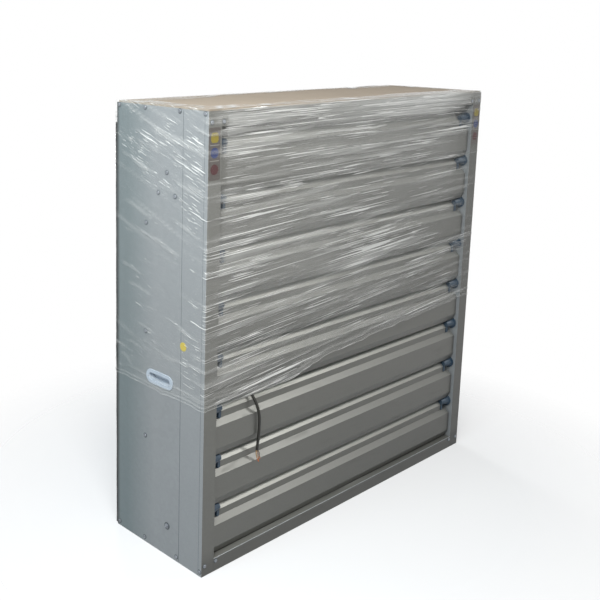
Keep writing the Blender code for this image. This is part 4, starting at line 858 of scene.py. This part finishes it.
# Blocks of a label: material, middle's height, width, height, thickness, corner's radius
LABEL_BLOCKS = [
    ("label ground", 1.263, 0.043, 0.146, 0.0002, 0.004),
    ("label upper", 1.308, 0.028, 0.028, 0.00028, 0.008),
    ("label pale", 1.2875, 0.036, 0.0025, 0.00028, 0.001),
    ("label middle", 1.266, 0.030, 0.030, 0.00028, 0.0149),
    ("label pale", 1.2440, 0.036, 0.0025, 0.00028, 0.001),
    ("label lower", 1.220, 0.030, 0.030, 0.00028, 0.0149),
]
LABEL_MIDDLE = 0.6665
ROUND_MARK = (-0.108, 0.692)


def paper(name, colour):
    net, shader = new_material(name)
    tone = net.mix(net.noise(net.stretched(), 120.0, 4.0, 0.6), scaled(colour, 0.86), colour)
    net.fill(shader, {"Base Color": tone, "Roughness": 0.42})


def stick_label(name, centre):
    """A rounded slip with blocks of plain colour printed on it."""
    names = list(dict.fromkeys(block[0] for block in LABEL_BLOCKS))
    bm = bmesh.new()
    for material, level, width, height, thickness, corner in LABEL_BLOCKS:
        outline = []
        for k, (across, up) in enumerate(((1, 1), (-1, 1), (-1, -1), (1, -1))):
            x = centre + across * (width / 2 - corner)
            z = level + up * (height / 2 - corner)
            angles = [math.radians(90 * k + 22.5 * step) for step in range(5)]
            outline += [(x + corner * math.cos(angle), z + corner * math.sin(angle)) for angle in angles]
        sheets = [[(x, FRONT - lift, z) for x, z in outline] for lift in (0.00002, thickness)]
        for face in closed_rings(bm, sheets):
            face.material_index = names.index(material)
    mesh_object(name, bm, names, "card", smooth=False)


class FAN_OT_labels(bpy.types.Operator):
    """Stick the plain coloured labels and the round mark on the shutter frame"""

    bl_idname = "fan.labels"
    bl_label = "Labels"

    def execute(self, context):
        chosen = context.scene.fan_labels
        for key in ("ground", "upper", "middle", "lower", "pale", "mark"):
            paper("round mark" if key == "mark" else f"label {key}", getattr(chosen, key))
        for side, end in ENDS:
            stick_label(f"label_{end}", side * LABEL_MIDDLE)
        bm = bmesh.new()
        matrix = Matrix.Translation((-HALF_WIDTH, *ROUND_MARK)) @ turn_to((-1, 0, 0))
        lathe(bm, [(0.0135, 0), (0.0135, 0.0002), (0.0132, 0.0003), (0.0105, 0.00034), (0, 0.00036)], 40, matrix)
        mesh_object("round_mark", bm, ["round mark"], "card")
        return {"FINISHED"}


# The sealing strips' section from their middle and the rear face, and their stations
STRIP_SECTION = [(-0.003, 0.0), (-0.003, 0.0074), (-0.0021, 0.0086), (0.0021, 0.0086), (0.003, 0.0074), (0.003, 0.0)]
STRIP_LOW, STRIP_HIGH, STRIP_STEPS = 0.006, 1.318, 60
STRIP_MIDDLE = HALF_WIDTH - 0.0033

# Thin bars up the side walls: foot, height, material, slot, section as (out of the wall, y)
WALL_BARS = {
    "seam": (
        0.004, 1.372, "seam sealant", "belt_rubber",
        [(0, SEAM - 0.0009), (0.00015, SEAM - 0.0006), (0.00015, SEAM + 0.0006), (0, SEAM + 0.0009)],
    ),
    # A dark bar that paints the shadow in the gap where the turned edge meets the side wall.
    "edge_gap": (
        0.003, 1.374, "seam sealant", "belt_rubber",
        [(0, FOLD + 0.0002), (0.00012, FOLD), (0.00012, FOLD + 0.0011), (0, FOLD + 0.0013)],
    ),
    "turned_edge": (
        0.003, 1.374, "stile sheet", "shutter_sheet",
        [(0, FOLD), (0.0005, FOLD - 0.0006), (0.0005, FRONT + 0.0012), (0, FRONT + 0.0004)],
    ),
}  # fmt: skip

# Thin bars between the stiles: material, section as (y, z)
CROSS_BARS = {
    # A pale bead on the bottom rail's bent top edge paints its highlight.
    "bent_edge_bottom": (
        "galvanised casing",
        [(-0.1998, 0.0404), (-0.2004, 0.0409), (-0.2004, 0.0418), (-0.1996, 0.0425), (-0.1988, 0.0421)],
    ),
    "closing_strip_top": (
        "shutter sheet",
        [(-0.1788, 1.3378), (-0.1780, 1.3378), (-0.1780, 1.3172), (-0.1752, 1.3160), (-0.1752, 1.3152),
         (-0.1782, 1.3152), (-0.1788, 1.3160)],
    ),
}  # fmt: skip


def straight_bar(name, section, along, material, slot):
    """A straight bar: a section carried along a direction, with closed ends."""
    bm = bmesh.new()
    closed_rings(bm, [section, [Vector(point) + Vector(along) for point in section]])
    mesh_object(name, bm, [material], slot, smooth=False)


class FAN_OT_strips(bpy.types.Operator):
    """Lay the sealing strips, the seams, the turned edges and the strip that closes the top of the shutter"""

    bl_idname = "fan.strips"
    bl_label = "Sealing strips"

    def execute(self, context):
        for side, end in ENDS:
            rings = []
            for i in range(STRIP_STEPS + 1):
                z = STRIP_LOW + (STRIP_HIGH - STRIP_LOW) * i / STRIP_STEPS
                sway = 0.0005 * math.sin(i * 0.61) + 0.0003 * math.sin(i * 1.7)
                middle = side * STRIP_MIDDLE + sway * 0.6
                rings.append([(middle + x, REAR + y, z) for x, y in STRIP_SECTION])
            bm = bmesh.new()
            closed_rings(bm, rings)
            mesh_object(f"sealing_strip_{end}", bm, ["strip rubber"], "belt_rubber")
            for name, (foot, height, material, slot, section) in WALL_BARS.items():
                spots = [(side * (HALF_WIDTH + out), y, foot) for out, y in section]
                straight_bar(f"{name}_{end}", spots, (0, 0, height), material, slot)
        for name, (material, section) in CROSS_BARS.items():
            spots = [(-STILE_INNER, y, z) for y, z in section]
            straight_bar(name, spots, (2 * STILE_INNER, 0, 0), material, "shutter_sheet")
        return {"FINISHED"}


# Stretch film: rows of points, the way round at which the front, the right side and the rear start, the
# lower edge on the way round, and how far it stands off the card, off screw heads and behind the rear face
FILM_ROWS = 210
LAP_ROWS = 12
FRONT_AT = 0.40
RIGHT_AT = 1.79
REAR_AT = 2.19
EDGE_STATIONS = [0.0, 0.15, 0.40, 0.46, 0.77, 0.95, 1.12, 1.24, 1.76, 1.98, 2.20, 2.70, 3.20, 3.60]
EDGE_LEVELS = [0.528, 0.523, 0.520, 0.524, 0.527, 0.566, 0.575, 0.586, 0.610, 0.606, 0.590, 0.560, 0.540, 0.528]
EDGE_AT_CORNER = 0.522
FILM_TOP = CARD_TOP + 0.0012
HEAD_LIFT = 0.0018
BEHIND_REAR = 0.0064
CREASES = 150
EDGE_FOLDS = 26
LEFT_SIDE_STREAKS = 4.0


def rise(values, low, high):
    """0 at low, 1 at high, straight between them and level beyond; low may be the larger."""
    return np.clip((values - low) / (high - low), 0, 1)


def soft_step(values, middle, width):
    return 1 / (1 + np.exp(-(values - middle) / width))


def film_mesh(xs, ys, zs):
    """A mesh of rows of points, four corners to a face."""
    rows, columns = xs.shape
    starts = [r * columns + c for r in range(rows - 1) for c in range(columns - 1)]
    faces = [(a, a + 1, a + columns + 1, a + columns) for a in starts]
    mesh = bpy.data.meshes.new("stretch_film")
    mesh.from_pydata(np.stack([xs.ravel(), ys.ravel(), zs.ravel()], axis=1).tolist(), [], faces)
    mesh.shade_smooth()
    return mesh


def lay_map(mesh, turns, levels):
    """The map that the streaks follow; on the left side they are shorter and waver."""
    layer = mesh.uv_layers.new(name="along")
    loops = np.zeros(len(mesh.loops), dtype=np.int32)
    mesh.loops.foreach_get("vertex_index", loops)
    turns = np.where(turns < FRONT_AT, FRONT_AT - LEFT_SIDE_STREAKS * (FRONT_AT - turns), turns)
    waver = 0.0012 * np.sin(23 * turns + 40 * levels) * (turns < FRONT_AT)
    coordinates = np.stack([turns[loops], (levels + waver)[loops]], axis=1)
    layer.data.foreach_set("uv", coordinates.ravel().astype(np.float32))


def film_outline(stand_off):
    """Points round the casing from its rear left corner, with outward normals and the way along."""
    half, front, rear = HALF_WIDTH + stand_off, FRONT - stand_off, REAR + stand_off + BEHIND_REAR
    corner, step = 0.0045, 0.018
    corners = [Vector(spot) for spot in ((-half, rear), (-half, front), (half, front), (half, rear))]
    directions = [Vector(way) for way in ((0, -1), (1, 0), (0, 1), (-1, 0))]
    outward = [Vector(way) for way in ((-1, 0), (0, -1), (1, 0), (0, 1))]
    points, normals = [], []
    for k in range(4):
        start, end, way = corners[k], corners[(k + 1) % 4], directions[k]
        length = (end - start).length - 2 * corner
        count = max(2, round(length / step))
        for i in range(count + 1):
            points.append(start + way * (corner + length * i / count))
            normals.append(outward[k])
        centre = end - way * corner - outward[k] * corner
        for i in (1, 2, 3):
            angle = math.pi / 2 * i / 4
            normal = outward[k] * math.cos(angle) + outward[(k + 1) % 4] * math.sin(angle)
            points.append(centre + normal * corner)
            normals.append(normal)
    path = np.array([tuple(point) for point in (*points, points[0])])
    steps = np.linalg.norm(np.diff(path, axis=0), axis=1)
    around = np.concatenate([[0.0], np.cumsum(steps)])
    return path, np.array([tuple(normal) for normal in (*normals, normals[0])]), around


def wander(around, draw, waves):
    """A smooth random line round the girth, from about -1 to 1, that meets itself."""
    line = np.zeros_like(around)
    for order in range(1, waves + 1):
        phase = draw.uniform(0, 2 * math.pi)
        line += draw.normal() / math.sqrt(waves) * np.sin(2 * math.pi * order * around / around[-1] + phase)
    return line


def lower_edge(around, height, draw):
    """Height of the film's lower edge on its way round the casing."""
    ragged = 0.0022 * wander(around, draw, 90) + 0.0016 * wander(around, draw, 31)
    return np.interp(around, EDGE_STATIONS, EDGE_LEVELS) + height - EDGE_AT_CORNER + ragged


def pulled_level(turns, heights):
    """Height measured along the way the film was pulled, which slopes differently on each side."""
    left = np.interp(heights, [0.55, 0.70, 1.10, 1.30], [-0.10, -0.18, -0.33, -0.36])
    front = np.interp(heights, [0.55, 0.80, 1.10, 1.36], [0.085, 0.055, 0.030, 0.015])
    slant = left * np.minimum(turns - FRONT_AT, 0.0)
    slant += front * np.clip(turns - FRONT_AT, 0.0, RIGHT_AT - FRONT_AT)
    slant -= 0.12 * np.clip(turns - RIGHT_AT, 0.0, REAR_AT - RIGHT_AT)
    return heights - slant + 0.02 * np.clip(turns - REAR_AT, 0.0, None)


def raise_creases(turns, level, draw, above_edge):
    """Outward lift and cover of ridges that follow the pull, with a gathered lower edge."""
    lift = np.zeros_like(level)
    cover = np.zeros_like(level)
    for _ in range(CREASES):
        at = draw.uniform(0.48, 1.46)
        length = draw.uniform(0.08, 0.62) * (0.5 if draw.random() < 0.4 else 1.0)
        start = draw.uniform(-0.2, 3.6)
        width = draw.uniform(0.0020, 0.0040)
        strength = draw.uniform(0.3, 1.0) ** 1.6
        bow = draw.normal() * 0.012
        reach = rise(turns, start, start + length)
        line = at + bow * (reach - 0.5) ** 2 + draw.normal() * 0.010 * (reach - 0.5)
        shape = np.exp(-(((level - line) / width) ** 2) / 2) * np.sin(math.pi * reach) ** 0.6
        lift += shape * strength * draw.choice([0.0011, 0.0016, -0.0006])
        cover = np.maximum(cover, 0.35 * shape * strength)
    for _ in range(EDGE_FOLDS):
        at = draw.uniform(-0.004, 0.050)
        start = draw.uniform(-0.2, 3.6)
        length = draw.uniform(0.3, 1.3)
        width = draw.uniform(0.0012, 0.0030)
        reach = rise(turns, start, start + length)
        offset = above_edge - at - draw.normal() * 0.012 * (reach - 0.5)
        shape = np.exp(-((offset / width) ** 2) / 2) * np.sin(math.pi * reach) ** 0.5
        lift += shape * 0.0012
        cover = np.maximum(cover, 0.30 * shape)
    cover = np.maximum(cover, 0.40 * np.exp(-((above_edge / 0.0022) ** 2)))
    return np.clip(lift, -0.0014, 0.0032), np.clip(cover, 0, 1)


def gathered(turns, heights):
    """How thickly the streaks lie, from 0 to 1, on the left side, the front and the other sides."""
    depth = rise(turns, 0, FRONT_AT)
    upper = soft_step(heights, 1.25 - 0.25 * depth, 0.02) * (0.30 + 0.19 * rise(depth, 0, 0.25))
    upper *= 1 - 0.35 * rise(heights, 1.28, 1.32)
    lower = np.exp(-(((heights - 0.67) / 0.10) ** 2)) * 0.55 * depth
    left = np.maximum(np.maximum(upper, lower), 0.08) * rise(turns, 0, 0.03)
    along = rise(turns, FRONT_AT, RIGHT_AT)
    front = 0.72 + 0.05 * np.sin(14.0 * heights + 3.0 * along) - 0.24 * along
    front += (0.02 + 0.36 * along) * soft_step(heights, 1.335, 0.010)
    front = np.where(heights < 0.72, front - 0.10 * (1 - along), front)
    over_stile = np.interp(heights, [1.03, 1.05, 1.17, 1.18, 1.335, 1.345], [0.16, 0.46, 0.46, 0.9, 0.9, 0.16])
    front -= over_stile * np.exp(-((along / 0.042) ** 4)) + 0.34 * np.exp(-(((1 - along) / 0.10) ** 2))
    rest = 0.5 + 0.2 * np.sin(11.0 * heights + 2.0 * turns)
    spread = np.where(turns < FRONT_AT + 0.002, left, np.where(turns < RIGHT_AT + 0.01, front, rest))
    return np.clip(np.where(heights > CARD_TOP, 0.45, spread), 0, 1)


def flat_cover(turns, heights, haze):
    """Cover of the flat film: thicker over the middle of the front, and over the top rail's right end, where the
    extra white cover paints the film's sheen.
    """
    along = rise(turns, FRONT_AT, RIGHT_AT)
    stations = [0.0, 0.03, 0.06, 0.10, 0.40, 0.82, 0.91, 1.0]
    middle = np.interp(along, stations, [0.25, 0.25, 0.0, 0.0, 1.0, 1.3, 0.1, 0.0])
    levels = [0.55, 0.72, 1.05, 1.18, 1.20, 1.335, 1.35]
    high = np.interp(heights, levels, [0.35, 0.8, 1.0, 1.3, 1.4, 1.6, 0.6])
    high = np.where((along < 0.06) & (heights > 1.18), 0.0, high)
    lower_right = rise(along, 0.5, 0.8) * rise(heights, 1.05, 0.90)
    # Painted sheen: extra white cover over the top rail's right end.
    rail = rise(heights, 1.33, 1.35) * rise(along, 0.3, 0.8)
    front = 0.10 * middle * high * (1 - 0.7 * lower_right) + 0.26 * rail
    return haze + np.where((turns > FRONT_AT) & (turns < RIGHT_AT + 0.01), front, 0.04 * rise(turns, 0, 0.03))


def over_heads(path, heights):
    """Near 1 where the film passes over a screw head."""
    near = np.zeros_like(heights)
    spots = [(s * (HALF_WIDTH + 0.0024), y, z) for s in (-1, 1) for y, z in SIDE_SCREWS + BOX_SCREWS]
    spots += [(s * x, FRONT - 0.0024, z) for s in (-1, 1) for x, z in FRONT_SCREWS]
    for x, y, z in spots:
        apart = (path[:, 0] - x) ** 2 + (path[:, 1] - y) ** 2 + (heights - z) ** 2
        near += np.exp(-apart / (2 * 0.009**2))
    return near


def film_material(streak_cover):
    net, shader = new_material("stretch film")
    values = {"Streak Cover": streak_cover}
    for socket, name in (("Haze", "veil"), ("Gather", "gather"), ("Crease", "crease")):
        values[socket] = net.node("Attribute", attribute_name=name).outputs["Fac"]
    streaks = net.node("Group", values, node_tree=streak_group()).outputs
    net.fill(shader, {"Base Color": rgb((243, 243, 239)), "Specular IOR Level": 0.9})
    net.fill(shader, {"Alpha": streaks["Cover"], "Roughness": streaks["Roughness"]})
    net.relief(shader, streaks["Height"], 0.7, 0.003)


class FAN_OT_film(bpy.types.Operator):
    """Wind the stretch film round the upper part, creased along the way it was pulled"""

    bl_idname = "fan.film"
    bl_label = "Stretch film"

    def execute(self, context):
        chosen = context.scene.fan_film
        path, normals, around = film_outline(chosen.stand_off)
        draw = np.random.default_rng(chosen.seed)
        edge = lower_edge(around, chosen.front_edge, draw)
        heights = edge + (FILM_TOP - edge) * np.linspace(0, 1, FILM_ROWS + 1)[:, None]
        turns = np.repeat(around[None, :], FILM_ROWS + 1, axis=0)
        level = pulled_level(turns, heights)
        lift, crease = raise_creases(turns, level, draw, heights - edge)
        heads = over_heads(path, heights)
        lift += HEAD_LIFT * heads
        near_top = rise(heights, FILM_TOP, FILM_TOP - 0.012) ** 2
        walls = []
        for axis, tuck in ((0, 0.0016), (1, 0.004)):
            walls.append(path[:, axis] * (1 - tuck * (1 - near_top)) + normals[:, axis] * lift * near_top)
        ragged = 0.22 * wander(around, draw, 7) + 0.10 * wander(around, draw, 23)
        folds = np.abs(wander(around, draw, 61))
        lap = [[], [], [], []]
        for i in range(1, LAP_ROWS + 1):
            inward = chosen.lap * (0.86 + ragged) * i / LAP_ROWS
            wrinkle = 0.0003 + 0.0007 * folds * math.sin(math.pi * min(1.0, i / LAP_ROWS + 0.12))
            cover = 0.30 * folds**1.5 + (0.12 if i > LAP_ROWS - 2 else 0)
            lap[0].append(path[:, 0] * (1 - inward / HALF_WIDTH))
            lap[1].append(path[:, 1] * (1 - inward / abs(FRONT)))
            lap[2].append(FILM_TOP + wrinkle * (1 if i < LAP_ROWS else 0.5))
            lap[3].append(np.clip(cover, 0, 1))
        xs, ys, zs, creases = (np.vstack(pair) for pair in zip((*walls, heights, crease), lap))
        levels = np.vstack([level, level[-1] + np.linspace(0.005, 0.08, LAP_ROWS)[:, None]])
        all_turns = np.repeat(around[None, :], len(xs), axis=0)
        mesh = film_mesh(xs, ys, zs)
        clear = np.vstack([heads, np.zeros((LAP_ROWS, len(path)))])
        gather = np.clip(gathered(all_turns, zs) - 0.6 * clear, 0, 1)
        veil = flat_cover(all_turns, zs, chosen.haze) * (1 - 0.9 * np.clip(clear, 0, 1))
        for name, values in (("crease", creases), ("gather", gather), ("veil", veil)):
            attribute = mesh.attributes.new(name, "FLOAT", "POINT")
            attribute.data.foreach_set("value", values.ravel().astype(np.float32))
        lay_map(mesh, all_turns.ravel(), levels.ravel())
        film_material(chosen.streak_cover)
        film = place_object("stretch_film", mesh, ["stretch film"], "pale_plastic")
        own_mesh(film)
        return {"FINISHED"}


# Lights: place, what they face, size, colour
LIGHTS = {
    "key": ((-1.9, -1.5, 2.55), (-0.2, -0.1, 0.8), 1.4, (1.0, 0.99, 0.965)),
    "side": ((-2.3, -0.3, 2.5), (-0.69, 0.0, 0.8), 1.2, (0.80, 0.92, 1.0)),
    "sheen": ((3.4, -2.9, 4.4), (-0.3, -0.2, 0.9), 1.0, (1.0, 1.0, 0.98)),
    "rear": ((1.4, 3.2, 0.85), (0.1, 0.1, 0.7), 0.9, (0.97, 0.99, 1.0)),
}


def lay_floor():
    """A pale round floor that fades out away from the fan."""
    bm = bmesh.new()
    bmesh.ops.create_circle(bm, cap_ends=True, segments=96, radius=3.4)
    mesh = bpy.data.meshes.new("floor")
    bm.to_mesh(mesh)
    bm.free()
    net, shader = new_material("pale floor")
    bounce = net.node("LightPath").outputs["Is Diffuse Ray"]
    tone = net.mix(bounce, (0.97, 0.97, 0.97), (0.03, 0.03, 0.03))
    away = net.node("VectorMath", {0: net.place()}, operation="LENGTH").outputs["Value"]
    cover = net.ramp(away, 0.75, 1.45, 0.62, 0.0)
    net.fill(shader, {"Base Color": tone, "Roughness": 0.9, "Specular IOR Level": 0.1, "Alpha": cover})
    floor = place_object("floor", mesh, ["pale floor"], body=None)
    floor.location.z = -0.0004


def set_world(ambient):
    """Soft light from above and the left, dimmer in front; a ray that looks past the fan meets white."""
    world = bpy.data.worlds.new("studio")
    bpy.context.scene.world = world
    world.use_nodes = True
    net = Net(world.node_tree)
    net.tree.nodes.clear()
    x, _, z = net.split("Generated")
    left = net.ramp(x, 0.3, -1.0)
    low = net.mix(left, (0.02, 0.02, 0.02), (0.18, 0.21, 0.23))
    high = net.mix(left, (0.24, 0.24, 0.25), (0.52, 0.58, 0.64))
    tone = net.mix(net.ramp(z, 0.05, 0.75), low, high)
    room = net.node("Background", {"Color": tone, "Strength": ambient}).outputs[0]
    white = net.node("Background", {"Color": (1, 1, 1), "Strength": 1.0}).outputs[0]
    rays = net.node("LightPath").outputs
    seen = net.highest(*(rays[f"Is {kind} Ray"] for kind in ("Camera", "Glossy", "Transmission")))
    mix = net.node("MixShader", {0: seen, 1: room, 2: white}).outputs[0]
    net.fill(net.tree.nodes.new("ShaderNodeOutputWorld").inputs, {"Surface": mix})


def set_on_stage(name, data, matrix):
    obj = bpy.data.objects.new(name, data)
    obj.matrix_world = matrix
    bpy.context.scene.collection.objects.link(obj)
    return obj


def set_light(name, power, place, target, size, colour):
    data = bpy.data.lights.new(name, "AREA")
    data.shape, data.size, data.energy, data.color = "DISK", size, power, colour
    aim = (Vector(target) - Vector(place)).to_track_quat("-Z", "Y").to_matrix().to_4x4()
    set_on_stage(name, data, Matrix.Translation(place) @ aim)


def set_camera(chosen):
    data = bpy.data.cameras.new("camera")
    data.lens, data.sensor_width, data.clip_start = chosen.lens, 36, 0.05
    data.shift_x, data.shift_y = chosen.shift
    level = Matrix.Rotation(math.pi / 2 + chosen.camera_pitch, 4, "X")
    turn = Matrix.Rotation(-chosen.camera_yaw, 4, "Z") @ level @ Matrix.Rotation(chosen.camera_roll, 4, "Z")
    place = Matrix.Translation(chosen.camera_place)
    bpy.context.scene.camera = set_on_stage("camera", data, place @ turn)


class FAN_OT_stage(bpy.types.Operator):
    """Set up the floor, the lights, the surroundings and the camera"""

    bl_idname = "fan.stage"
    bl_label = "Stage"

    def execute(self, context):
        chosen = context.scene.fan_stage
        lay_floor()
        set_world(chosen.ambient)
        for name, row in LIGHTS.items():
            set_light(f"{name} light", getattr(chosen, f"{name}_power"), *row)
        set_camera(chosen)
        context.scene.view_settings.view_transform = "Standard"
        return {"FINISHED"}


OPERATORS = [
    FAN_OT_finishes,
    FAN_OT_cord,
    FAN_OT_fasteners,
    FAN_OT_guard_wires,
    FAN_OT_strips,
    FAN_OT_labels,
    FAN_OT_film,
    FAN_OT_stage,
]


class FAN_PT_looks(bpy.types.Panel):
    """Lists the steps that dress the box fan"""

    bl_idname = "FAN_PT_looks"
    bl_label = "Box fan"
    bl_space_type = "VIEW_3D"
    bl_region_type = "UI"
    bl_category = "Fan"

    def draw(self, context):
        layout = self.layout
        for operator in OPERATORS:
            layout.operator(operator.bl_idname)
        for name, kind in SETTINGS.items():
            box = layout.box()
            group = getattr(context.scene, name)
            for key in kind.__annotations__:
                box.prop(group, key)


def register():
    for name, kind in SETTINGS.items():
        bpy.utils.register_class(kind)
        setattr(bpy.types.Scene, name, PointerProperty(type=kind))
    for kind in (*OPERATORS, FAN_PT_looks):
        bpy.utils.register_class(kind)


def unregister():
    for kind in (FAN_PT_looks, *reversed(OPERATORS)):
        bpy.utils.unregister_class(kind)
    for name, kind in reversed(SETTINGS.items()):
        delattr(bpy.types.Scene, name)
        bpy.utils.unregister_class(kind)


def main():
    register()
    bpy.ops.fan.finishes()
    bpy.ops.fan.cord()
    bpy.ops.fan.fasteners()
    bpy.ops.fan.guard_wires()
    bpy.ops.fan.strips()
    bpy.ops.fan.labels()
    bpy.ops.fan.film()
    bpy.ops.fan.stage()


if __name__ == "__main__":
    main()
